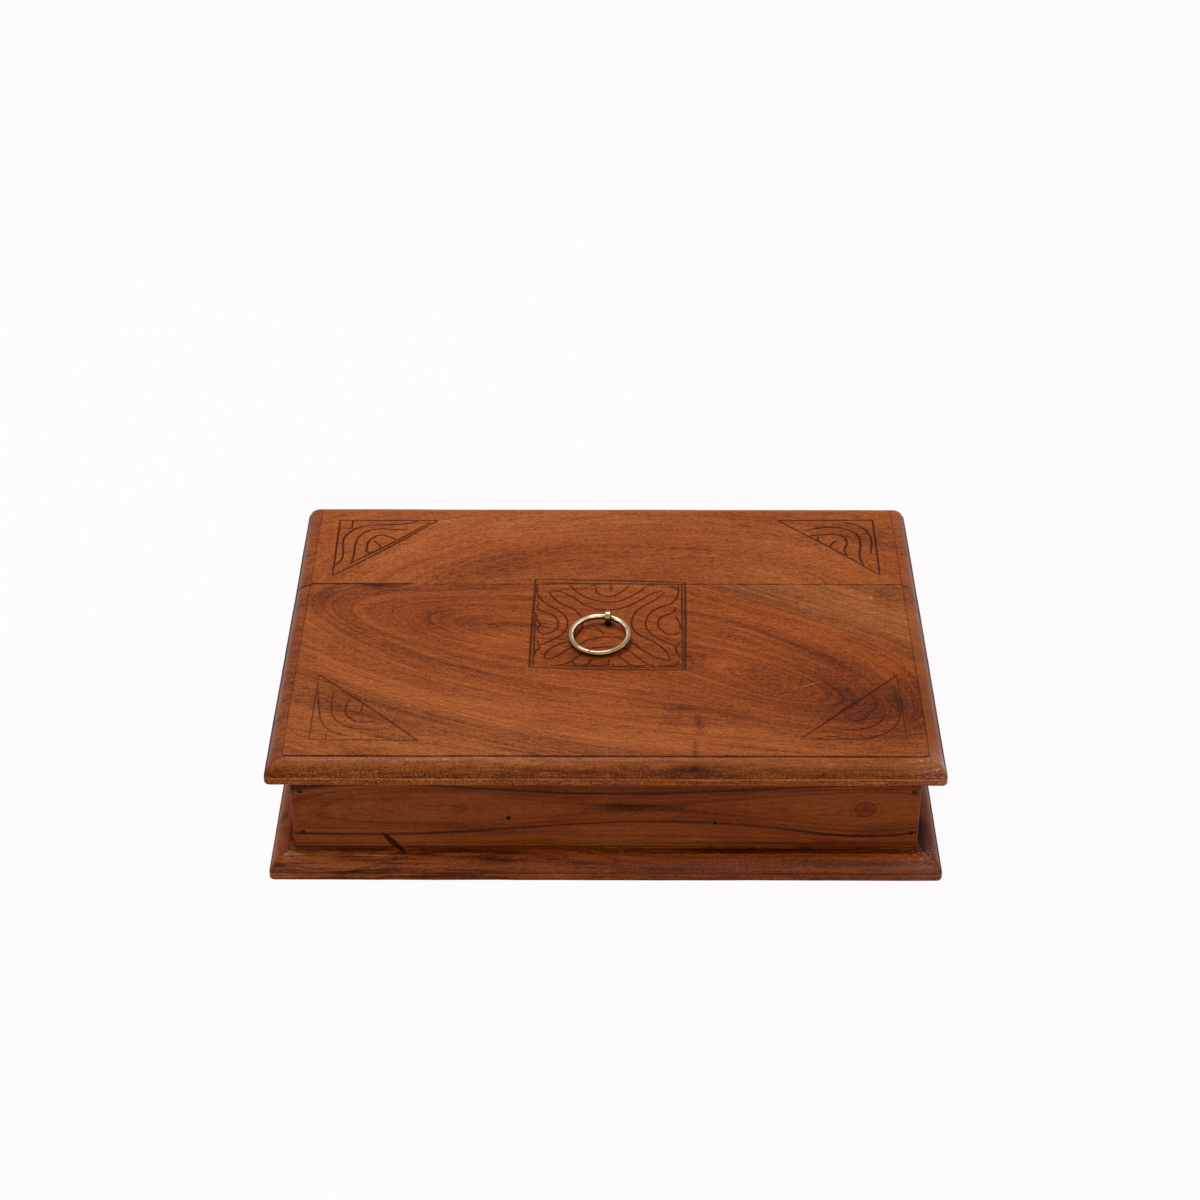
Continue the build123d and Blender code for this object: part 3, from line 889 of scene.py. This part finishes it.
front_left_strokes = [
    [(-155.2, -47), (-155.3, -75), (-155.3, -104)],
    [(-155.3, -104), (-125, -104.2), (-98, -104.8)],
    [(-155, -47.2), (-128, -74), (-98.2, -104.6)],
    [(-155, -56), (-153.5, -70), (-152, -80), (-150, -89), (-146, -95), (-140, -99.5), (-134, -101)],
    [(-124, -101.5), (-118, -102), (-111, -104)],
    [(-146, -62), (-146, -76), (-144, -85), (-140, -90), (-134, -94), (-127, -95), (-112, -95)],
    [(-137, -68), (-138, -76), (-138, -81), (-135, -86), (-131, -89), (-127, -89), (-122, -88)],
    [(-130, -73), (-130, -79), (-132, -81.5)],
    [(-155, -96.5), (-149, -96.5)],
    [(-146.5, -97), (-146.5, -104)],
]
front_right_strokes = [
    [(157.3, -47), (157.4, -75), (157.5, -103.5)],
    [(102, -103), (120, -103.2), (140, -102.8)],
    [(157.2, -47.2), (130, -74.5), (102.2, -102.8)],
    [(110, -103), (117, -101), (125, -102), (135, -102.5), (143, -100), (150, -95), (154.5, -88), (156, -80)],
    [(156, -80), (155.6, -70), (155, -58)],
    [(116, -90), (122, -94), (130, -95), (137, -93.5), (143, -90), (147, -84), (148.5, -76)],
    [(126, -82), (131, -87), (136, -86), (139.5, -82)],
    [(150.5, -97), (150, -102)],
]
firm_strokes = {(-155, -47.2), (157.2, -47.2), (-41.6, -39.6), (45.0, 42.2)}


# %% The gouge and its cuts
chips = [
    (-131, 38.6, 8.0, 1.2, -0.12), (-120, 37.5, 5.0, 0.9, 0.1), (-34, 40.2, 2.2, 0.8, 0.0),
    (-20, 38.2, 1.8, 0.8, 0.2), (25, 39.2, 2.6, 0.9, 0.0), (40.2, -29.0, 0.7, 1.6, 0.0),
    (-7.5, 38.6, 2.4, 0.6, 0.1), (38, 37.6, 1.6, 1.0, 0.5), (109, 27.5, 2.8, 0.7, -0.3),
    (-64, 39.8, 1.2, 0.6, 0.0),
]
chip_depth = 0.3
gouge_radius = 0.74
gouge_lift = 0.36
stroke_steps = 5
rear_pressure = 1.14
front_pressure = 0.93
middle_pressure = 1.06
firm_pressure = 1.18
end_pressure = 0.86
eye_hole_radius = 2.15


def gouge(stroke, height):
    """The shape that one stroke takes out: a smooth curve with a round section, thinner at its ends."""
    bpy.ops.curve.primitive_bezier_curve_add()
    tool = bpy.context.object
    spline = tool.data.splines[0]
    spline.bezier_points.add(len(stroke) - 2)
    firm = firm_pressure if stroke[0] in firm_strokes else 1.0
    for number, (x, y) in enumerate(stroke):
        point = spline.bezier_points[number]
        point.co = Vector((x, y, height + gouge_lift)) * mm
        point.handle_left_type = "AUTO"
        point.handle_right_type = "AUTO"
        pressure = 1 + 0.14 * noise.noise((x * 0.13, y * 0.13, 3.7))
        pressure *= rear_pressure if y > seam_y + 6 else front_pressure if y < -43 else middle_pressure
        ends = end_pressure if number in (0, len(stroke) - 1) else 1.0
        point.radius = pressure * ends * firm
    tool.data.dimensions = "3D"
    tool.data.bevel_depth = gouge_radius * mm
    tool.data.bevel_resolution = 2
    tool.data.resolution_u = stroke_steps
    tool.data.use_fill_caps = True
    only(tool)
    bpy.ops.object.convert(target="MESH")
    tool = bpy.context.object
    edit(tool)
    bpy.ops.mesh.select_all(action="SELECT")
    bpy.ops.mesh.remove_doubles(threshold=0.01 * mm)
    bpy.ops.mesh.normals_make_consistent(inside=False)
    done()
    return tool


def carve(board, strokes, height, front=-1000.0, back=1000.0):
    """Cuts every stroke that touches a board between two lines."""
    cuts = 0
    for stroke in strokes:
        ys = [y for x, y in stroke]
        if max(ys) + 1 > front and min(ys) - 1 < back:
            cut_away(board, gouge(stroke, height))
            cuts += 1
    return cuts


def bore(board, place, radius, depth, sides=24, turn=(0, 0, 0)):
    """A round hole in a board."""
    bpy.ops.mesh.primitive_cylinder_add(
        vertices=sides, radius=radius * mm, depth=depth * mm, location=Vector(place) * mm, rotation=turn,
    )
    cut_away(board, settle(bpy.context.object))


def nick(board, place, size, turn):
    """A dent with the shape of a long lens, where the wood has a flaw or a chip."""
    bpy.ops.mesh.primitive_uv_sphere_add(segments=16, ring_count=8, radius=mm, location=Vector(place) * mm)
    lens = bpy.context.object
    lens.scale = size
    lens.rotation_euler = turn
    cut_away(board, settle(lens))


ornament = square_strokes + back_left_strokes + back_right_strokes + front_left_strokes + front_right_strokes
print("strokes in the front board:", carve(front_board, ornament, lid_top, back=seam_y))
print("strokes in the rear board:", carve(rear_board, ornament, lid_top, front=seam_y))

bore(front_board, (eye_x, eye_y, lid_top - 5), eye_hole_radius, 30)
for x, y, long, wide, turn in chips:
    nick(front_board, (x, y, lid_top), (long, wide, chip_depth), (0, 0, turn))
finish_piece(front_board, lid_front_wood, "lid", ["lid_front_board"])
finish_piece(rear_board, lid_rear_wood, "lid", ["lid_rear_board"])


# %% [markdown]
# ## The box's boards
# The walls are thinner boards butted together: the front and back cover the ends of the sides, and small iron
# nails hold them. On the front wall two long ovals, each round a small knot, meet in the middle like an
# hourglass. Inside, the wood is bare, so it is paler and yellower.

# %% Marks on the box's boards
inside_x = abs(span("left_wall")[1].x) + 0.2
inside_y = abs(span("front_wall")[1].y) + 0.2
wall_foot = wall_low.z
base_moulding = 9.9
base_band = 4.3
base_side_tone = 0.45
knot_lens = 0.9


def inside_box(place):
    """1 on the bare wood inside the box."""
    x, y, z = place.split()
    within = (inside_x - abs(x)).rise(0.0, 0.1) * (inside_y - abs(y)).rise(0.0, 0.1)
    return within * z.rise(wall_foot - 0.1, wall_foot)


def wall_marks(place, height, found):
    """Recesses darkened by depth as dirt and painted shade, a dark line along the foot outside, and
    pale bare wood inside.
    """
    x, y, z = place.split()
    inside = inside_box(place)
    on_face = (wall_high.x - 1.7 - abs(x)).rise(0.0, 0.1)
    on_face = on_face * z.between(wall_foot + 0.6, wall_high.z - 0.6, 0.1)
    from_face = wall_high.y - abs(y)
    # Recesses in the face are darkened by their depth: dirt and painted shade.
    depth = from_face.rise(0.06, 0.25) * from_face.rise(2.0, 1.8)
    seat = z.rise(wall_foot + 0.5, wall_foot + 0.2) * (1 - inside)
    return {
        "value": found["value"] + inside * 0.10,
        "dirt": (on_face * depth).most(seat * 0.85),
        "hue": found["hue"] + inside * 0.6,
    }


def front_wall_marks(place, height, found):
    """The front wall's two knots, a foot painted paler as light and a paler, yellower left end painted as
    sheen, and the wall's own marks.
    """
    x, y, z = place.split()
    # Painted light: the foot is lightened, and the left end is paler as a painted sheen.
    value = found["value"] + z.rise(29, 25) * 0.025 + x.rise(-40, -120) * 0.012
    face = place.join(x, z, 0.0)
    for knot_x, knot_z, size, darkness in ((137, 38.5, 1.0, 0.11), (-77.5, 39.0, 0.56, 0.03)):
        from_knot = face.seen_from(knot_x, knot_z, (size, size * knot_lens, 1))
        from_knot = face.vector("LENGTH", from_knot)
        disc = from_knot.rise(6.0, 5.3) * darkness + from_knot.rise(2.6, 1.2) * (0.07 / size)
        rim = from_knot.between(5.0, 5.9, 0.6) * (0.06 / size) + from_knot.between(7.9, 8.3, 0.4) * 0.06
        value = value - disc - rim
    # The left end's yellower hue belongs to the painted sheen.
    hue = found["hue"] + x.rise(-20, -110) * 0.22
    return wall_marks(place, height, {"value": value, "hue": hue})


def base_marks(place, height, found):
    """Dirt on the ledge, painted shade over the band, worn and stained mouldings with painted highlights, and
    bare wood inside.
    """
    x, y, z = place.split()
    inside = inside_box(place)
    side_edge, long_edge, edge = from_edges(x, y, base_high)
    crease_shade, arris_highlight = band_lines(z, edge, base_band)
    border = edge.rise(13, 12)
    side_face = (long_edge - side_edge).rise(-0.4, 0.4) * border
    long_face = 1 - side_face
    moulded = edge.rise(base_moulding, base_moulding - 1.0)
    left_part = x.rise(-20, -120) * moulded * long_face
    right_part = x.rise(-30, 90) * border
    streaks = place.noise(0.03, 0.6).rise(0.42, 0.62)

    foot = edge.rise(12.65, 12.95) * (1 - inside)
    # Darker where the base's top is cut into, by depth: dirt and painted shade.
    cut_below_top = edge.rise(base_moulding + 0.3, base_moulding + 0.4)
    cut_below_top = cut_below_top * z.rise(base_high.z - 0.06, base_high.z - 0.3)
    ledge = edge.rise(base_moulding - 1.2, base_moulding - 0.2) * (1 - inside)
    ledge_dirt = ledge * (x.rise(20, -90) * streaks * 0.5 + 0.14)
    flaw = place.spot(-110.0, -115.8, 6.2, 1.3, -0.85).most(place.spot(-107.2, -119.7, 4.4, 0.6))
    dirt = ledge_dirt.most(foot * 0.8).most(flaw.rise(0.25, 0.5) * 0.95)
    # Painted shade over the band joins the dirt here.
    dirt = dirt.most(cut_below_top * 0.9).most(crease_shade * 0.45)

    # Pale patches on the moulding's top and left corner: partly wear, partly a painted highlight.
    rubbed_and_lit = place.noise(0.07, 0.5, 3.0, 0.6).rise(0.50, 0.60)
    rubbed_and_lit = rubbed_and_lit * left_part * edge.between(6.5, 9.6, 0.8)
    rubbed_and_lit_corner = place.noise(0.2, 0.9).rise(0.35, 0.65)
    rubbed_and_lit = rubbed_and_lit.most(place.spot(-166, -121.5, 9, 3.5) * rubbed_and_lit_corner)
    # A pale line along a varnish bead at the walls' foot, and pale specks near the right corner: painted
    # highlights.
    bead_highlight = edge.between(11.9, 12.6, 0.1) * x.rise(-70, 60)
    bead_highlight = bead_highlight * place.noise(0.06, 0.4, 3.0, 0.6).rise(0.36, 0.56)
    painted_glints = place.spot(169, -118, 13, 7) * edge.rise(13, 12.6)
    painted_glints = painted_glints * place.noise(0.35, 0.9, 2.0, 0.6).rise(0.54, 0.62)
    bright = (bead_highlight * 0.7).most(painted_glints)

    value = found["value"]
    value = value + (base_side_tone - value) * side_face * 0.6 - right_part * 0.075 + 0.02
    # A lighter band along the round top of the moulding: painted highlight.
    value = value + long_face * edge.between(5.2, 7.6, 0.8) * 0.09
    value = value - right_part * edge.between(8.2, 11.9, 0.4) * 0.15
    value = value + (place.noise(0.02, 0.7, 3.0, 0.6) - 0.5) * border * long_face * 0.30
    value = value - z.between(base_band + 0.6, base_band + 1.6, 0.5) * edge.rise(3, 2) * 0.06
    value = value - z.rise(base_band + 0.3, base_band - 0.1) * right_part * 0.08
    value = value + inside * 0.10 + arris_highlight * 0.12 - left_part * (streaks * 0.32 - 0.07) + rubbed_and_lit * 0.16
    left_knot = place.spot(-174.7, -88, 3.0, 5).rise(0.3, 0.6)
    right_knot = place.spot(168.5, -99, 6, 11)
    value = value - left_knot * 0.20 - right_knot * 0.27
    corners = place.spot(170, -119, 16, 9) + place.spot(-166, -120, 24, 9) * 0.4
    # The bright mask holds painted highlights, which lighten and yellow the colour.
    return {
        "value": value + bright * 0.55 * (1 - inside),
        "dirt": dirt,
        "hue": found["hue"] + inside * 0.6 + rubbed_and_lit * 0.6 - right_part * 0.2 + bright * 0.7,
        "varnish": (moulded * (right_part * 0.08 + 0.04) + corners * 0.5) * (1 - side_face * 0.9),
    }


# %% Woods of the walls, base and dividers
front_wall_hills = [
    (-92.3, 43.2, -0.056, 52.3, 10.2, -9.17),
    (167.2, 17.4, 0.093, 111.8, 38.6, -49.97),
    (-7.0, 34.4, 0.047, 278.0, 22.1, -39.5),
    (-12.1, 14.0, -0.003, 167.3, 9.6, -15.9),
]
front_wall_bands = [
    (0, 0.48), (19, 0.48), (22, 0.505), (25.5, 0.50), (27.4, 0.475), (28.1, 0.40), (28.8, 0.46),
    (30.3, 0.45), (30.9, 0.38), (31.6, 0.45), (32.8, 0.43), (33.4, 0.22), (34.0, 0.22), (34.6, 0.44),
    (38, 0.475), (41, 0.46), (42, 0.41), (43, 0.47), (60, 0.48),
]
# The last of these stains lightens the wall's foot: painted light.
front_wall_stains = [
    (10, 40, 17, 2.4, 0.0, -0.28), (-125, 45, 26, 1.6, 0.0, -0.10), (92, 15.2, 75, 1.1, 0.0, -0.20),
    (40, 19.5, 55, 0.7, -0.02, -0.12), (120, 21, 45, 0.8, -0.03, -0.10), (-30, 23, 50, 0.6, 0.02, -0.10),
    (20, 52, 90, 2.0, 0.0, -0.10), (150, 24, 30, 3, 0.1, -0.05), (-110, 57, 60, 4, 0.0, -0.04),
    (-40, 18, 140, 7, 0.0, 0.05),
]
plain_bands = [
    (0, 0.48), (8, 0.54), (14, 0.40), (17, 0.52), (27, 0.55), (33, 0.42), (36, 0.52), (46, 0.50),
    (52, 0.36), (56, 0.50), (66, 0.56), (74, 0.44), (78, 0.53), (90, 0.52), (97, 0.40), (101, 0.52),
    (118, 0.55), (140, 0.46),
]
base_stains = [
    (-60, -123, 16, 1.6, -0.08, -0.28), (-150, -121, 22, 7, 0.0, 0.06), (-75, -118, 30, 1.6, -0.05, -0.16),
    (60, -124, 70, 3, 0.0, -0.05), (-60, -126, 80, 5, 0.0, -0.05),
]
base_layers = hilly((190, 0.05, 1.3), [(-150, -124, 0.0, 40, 14, 26), (40, -122, 0.1, 90, 10, 12)])
side_layers = hilly((60, 0.04, 1.1), [(20, 38, 0.0, 60, 14, -26)])
front_wall_wood = wood(
    "front_wall_wood", "xz", wall_low.y, hilly((96.8, 0.101, -0.726), front_wall_hills), front_wall_bands, 3,
    front_wall_marks, front_wall_stains, fleck=0.5, figure=0.65, sway=0.12, shade=0.86, hue=0.06, levels=60,
    follow=1.2, calm=(25, 29),
)
base_wood = wood(
    "base_wood", "xy", base_high.z, base_layers, plain_bands, 4, base_marks, base_stains,
    fleck=0.9, figure=0.7, sway=0.7, shade=0.95, hue=0.08,
)


def plain_wood(name, face, surface, layers, seed):
    """A wood of the boards that the picture hardly shows."""
    return wood(name, face, surface, layers, plain_bands, seed, wall_marks, shade=0.85)


back_wall_wood = plain_wood("back_wall_wood", "xz", wall_high.y, arched(60, -20, 6.0), 5)
left_wall_wood = plain_wood("left_wall_wood", "yz", wall_low.x, arched(-40, 90, 5.0), 6)
right_wall_wood = plain_wood("right_wall_wood", "yz", wall_high.x, side_layers, 7)
divider_wood = plain_wood("divider_wood", "yz", 0, arched(30, -40, 6.0), 8)
print("woods:", len([m for m in bpy.data.materials if m.name.endswith("_wood")]))

# %% Base board
nail_hole_radius = 1.3
nail_hole_depth = 1.4
flaw_place = Vector((-110.0, -115.8, base_high.z - 0.1))
flaw_tail = Vector((-107.2, -119.6, base_high.z - 0.6))
moulded_base = moulded_board("moulded_base", base_low, base_high, base_band, base_moulding, 0.45)
weather(moulded_base, base_low, base_high)


def loose_parts(*nodes):
    """The box of each nail in some measured nails: copies are separated, measured and thrown away."""
    boxes = []
    for node in nodes:
        only(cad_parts[node])
        bpy.ops.object.duplicate()
        bpy.ops.object.mode_set(mode="EDIT")
        bpy.ops.mesh.select_all(action="SELECT")
        bpy.ops.mesh.separate(type="LOOSE")
        done()
        for part in list(bpy.context.selected_objects):
            boxes.append(around(part.matrix_world @ vertex.co / mm for vertex in part.data.vertices))
            bpy.data.objects.remove(part)
    return boxes


def nail_holes(piece, nodes, axis):
    """A short round recess over each nail's head."""
    for low, high in loose_parts(*nodes):
        middle = (low + high) / 2
        outward = 1 if abs(high[axis]) > abs(low[axis]) and axis != 2 else -1
        middle[axis] = high[axis] if outward > 0 else low[axis]
        turn = (0, 0, 0) if axis == 2 else (math.radians(90), 0, 0)
        bore(piece, middle, nail_hole_radius, nail_hole_depth, 20, turn)


nail_holes(moulded_base, ["base_nails"], 2)
nick(moulded_base, flaw_place, (5.5, 1.2, 0.6), (0, 0, -0.85))
nick(moulded_base, flaw_tail, (3.4, 0.5, 0.5), (0, 0, 0))
finish_piece(moulded_base, base_wood, "box", ["base_board"])


# %% Walls
corner_round = 1.5
edge_round = 0.45
divider_round = 1.2
slash_place = (-113.2, wall_low.y, 15.2)


def rounded(piece, test, width, steps):
    """Bevels the edges that pass a test."""
    edit(piece)
    pick(piece, "EDGE", test)
    bpy.ops.mesh.bevel(offset=width * mm, segments=steps)
    done()


def long_wall(name, node, wood_finish, nails):
    """The front or the back wall: rounded outer corners, softened edges, nail holes, and a flaw in front."""
    low, high = span(node)
    wall = block(name, low, high)
    outer = low.y if low.y < 0 else high.y
    rounded(wall, lambda edge: along(edge, 2) and abs(edge.verts[0].co.y / mm - outer) < 0.1, corner_round, 5)
    rounded(wall, lambda edge: along(edge, 0), edge_round, 3)
    nail_holes(wall, nails, 1)
    if outer < 0:
        nick(wall, slash_place, (8.5, 1.5, 1.8), (0, 0.91, 0))
    finish_piece(wall, wood_finish, "box", [node])


def plain_board(name, node, wood_finish, top_round=edge_round):
    """A side wall or a divider: a thin board with softened upper edges."""
    low, high = span(node)
    board = block(name, low, high)
    rounded(board, lambda edge: along(edge, 1) and edge.verts[0].co.z / mm > high.z - 0.1, top_round, 4)
    finish_piece(board, wood_finish, "box", [node])


long_wall("nailed_front_wall", "front_wall", front_wall_wood, ["front_corner_nails", "divider_nails"])
long_wall("nailed_back_wall", "back_wall", back_wall_wood, ["back_corner_nails", "divider_nails"])
plain_board("left_side_wall", "left_wall", left_wall_wood)
plain_board("right_side_wall", "right_wall", right_wall_wood)
for side in ("left", "right"):
    plain_board(side + "_thin_divider", side + "_divider", divider_wood, divider_round)

# %% [markdown]
# ## Metal
# The ring and its eye are plain cast brass, rubbed to a satin by hands and browner where fingers don't reach.
# The hinges are the same brass left to tarnish, and the nails are soft iron, nearly black, with rubbed bright
# specks. One recipe gives all three: two tones mixed by soft noise, and a fine fleck in the roughness and
# the bump. The ring and its eye also get tarnish where the ring turns, painted shade on the ring's lower half
# and outside, and a painted highlight line along its upper inner side.

# %% A metal
# Pale brass of the painted highlight line on the ring.
highlight_brass = (0.86, 0.74, 0.58, 1.0)
rubbed_iron = (0.55, 0.50, 0.45, 1.0)


def metal(name, bright, dull, dull_share, roughness, uneven, speck=0.0, marks=None, painted_highlight=None):
    """Metal of two tones; dull_share is how much is dull. Marks adds dull places and painted shade, and the
    last argument a painted highlight line.
    """
    material, shader, place = new_material(name)
    cloud = place.noise(0.16, 0.16)
    fleck = place.noise(0.9, 0.9, 3.0, 0.6)
    limit = 0.78 - dull_share * 0.6
    dullness = (cloud + (fleck - 0.5) * 0.3).rise(limit, limit + 0.24)
    # For the ring, marks adds tarnish near the eye and painted shade on its lower half and outside.
    if marks:
        dullness = dullness.most(marks(place))
    colour = dullness.mix((*bright, 1), (*dull, 1))
    # A pale line painted into the colour as a highlight.
    if painted_highlight:
        colour = (painted_highlight(place) * cloud.rise(0.30, 0.56)).mix(colour, highlight_brass)
    if speck:
        colour = (place.noise(1.3, 1.3, 1.0).rise(0.60, 0.66) * speck).mix(colour, rubbed_iron)
    feed(shader, "Base Color", colour)
    feed(shader, "Metallic", 1.0)
    feed(shader, "Roughness", (dullness + (fleck - 0.5)) * uneven + roughness)
    relief = {"Strength": 0.3, "Distance": mm, "Height": fleck * uneven * 0.03}
    feed(shader, "Normal", place.node("ShaderNodeBump", None, relief))
    return material


eye_place = Vector((eye_x, eye_y, 80.55))
ring_radius = 15.85
wire_radius = 1.6
ring_gap = 0.3
ring_turn = math.radians(-17.2)
ring_drop = eye_place.z - (lid_top + ring_gap + wire_radius)
ring_tilt = math.asin(ring_drop / (2 * ring_radius))
ring_lay = Matrix.Rotation(ring_turn, 4, "Z") @ Matrix.Rotation(ring_tilt, 4, "X")


def on_ring(place):
    """Each point's distance from the eye, from the ring's middle, and above the ring's plane."""
    middle = eye_place + ring_lay @ Vector((0, -ring_radius, 0))
    from_eye = place.vector("DISTANCE", place, eye_place)
    from_middle = place.vector("DISTANCE", place, middle)
    way = place.vector("SUBTRACT", place, eye_place)
    above = place.vector("DOT_PRODUCT", way, ring_lay @ Vector((0, 0, 1)))
    return from_eye, from_middle, above


def painted_highlight_line(place):
    """A painted highlight line along the ring's upper inner side."""
    from_eye, from_middle, above = on_ring(place)
    line = from_middle.between(ring_radius - 1.05, ring_radius - 0.55, 0.35)
    return line * above.rise(0.6, 1.1) * from_eye.rise(3.0, 5.0)


def tarnish_and_shade(place):
    """Tarnish where the ring turns in its eye, and painted shade on its lower half and, a little, round its
    outside.
    """
    from_eye, from_middle, above = on_ring(place)
    near_eye = (from_eye.rise(3.2, 1.8) * 0.8).most(from_eye.rise(5.2, 3.4) * 0.4)
    outside = from_middle.rise(ring_radius - 0.4, ring_radius + wire_radius * 0.9) * 0.5
    return near_eye.most(above.rise(1.25, 0.1)).most(outside)


ring_brass = metal(
    "ring_brass", (0.42, 0.265, 0.145), (0.11, 0.052, 0.022), 0.2, 0.11, 0.04,
    marks=tarnish_and_shade, painted_highlight=painted_highlight_line,
)
hinge_brass = metal("hinge_brass", (0.50, 0.36, 0.17), (0.16, 0.10, 0.05), 0.75, 0.36, 0.2)
nail_iron = metal("nail_iron", (0.050, 0.022, 0.012), (0.016, 0.007, 0.004), 0.9, 0.6, 0.2, speck=0.25)


def give(material, *nodes):
    """Measured parts whose shape is already right get their finish."""
    for node in nodes:
        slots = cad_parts[node].data.materials
        slots.clear()
        slots.append(material)


give(nail_iron, "front_corner_nails", "back_corner_nails", "divider_nails", "base_nails")
give(hinge_brass, "hinge_body_screws", "hinge_lid_screws")
for side in ("left", "right"):
    give(hinge_brass, side + "_hinge_body_leaf", side + "_hinge_lid_leaf", side + "_hinge_pin")
give(ring_brass, "ring_eye")

# %% [markdown]
# ## The ring
# The ring is a bent rod, not quite even in its thickness, with its two ends meeting in a fine joint at the
# front. A torus is added flat at its size, one of its sections is bevelled into a joint and pinched, and then
# it is tilted about the eye until its front lies on the lid.

# %% Ring
ring_segments = 144
wire_segments = 24
joint_angle = math.radians(-92)
joint_width = 0.16
joint_pinch = 0.86
least_thickness = 0.997
wear = 0.006

bpy.ops.mesh.primitive_torus_add(
    major_segments=ring_segments, minor_segments=wire_segments,
    major_radius=ring_radius * mm, minor_radius=wire_radius * mm,
)
ring = bpy.context.object
ring.name = "worn_ring"
section_angle = math.tau / ring_segments
joint_section = round(joint_angle / section_angle) * section_angle
joint_way = Vector((math.cos(joint_section), math.sin(joint_section), 0))


def at_joint(vertex):
    """Whether a vertex is on the section where the rod's ends meet."""
    flat = Vector((vertex.co.x, vertex.co.y, 0))
    return flat.normalized().dot(joint_way) > 1 - 1e-7


edit(ring)
pick(ring, "EDGE", lambda edge: all(at_joint(vertex) for vertex in edge.verts))
bpy.ops.mesh.bevel(offset=joint_width * mm, segments=2)
pick(ring, "VERT", at_joint)
bpy.ops.transform.resize(value=(joint_pinch,) * 3, center_override=joint_way * ring_radius * mm)
done()
for vertex in ring.data.vertices:
    middle = Vector((vertex.co.x, vertex.co.y, 0)).normalized() * ring_radius * mm
    out = vertex.co - middle
    worn = least_thickness + wear * noise.noise(vertex.co / mm * 0.12)
    vertex.co = middle + out * min(worn, 1.0)
lay = Matrix.Translation(eye_place * mm) @ ring_lay @ Matrix.Translation((0, -ring_radius * mm, 0))
ring.data.transform(lay)
finish_piece(ring, ring_brass, "ring", ["ring_pull"], 80)
print("ring lies at", [round(size / mm, 1) for size in ring.dimensions])
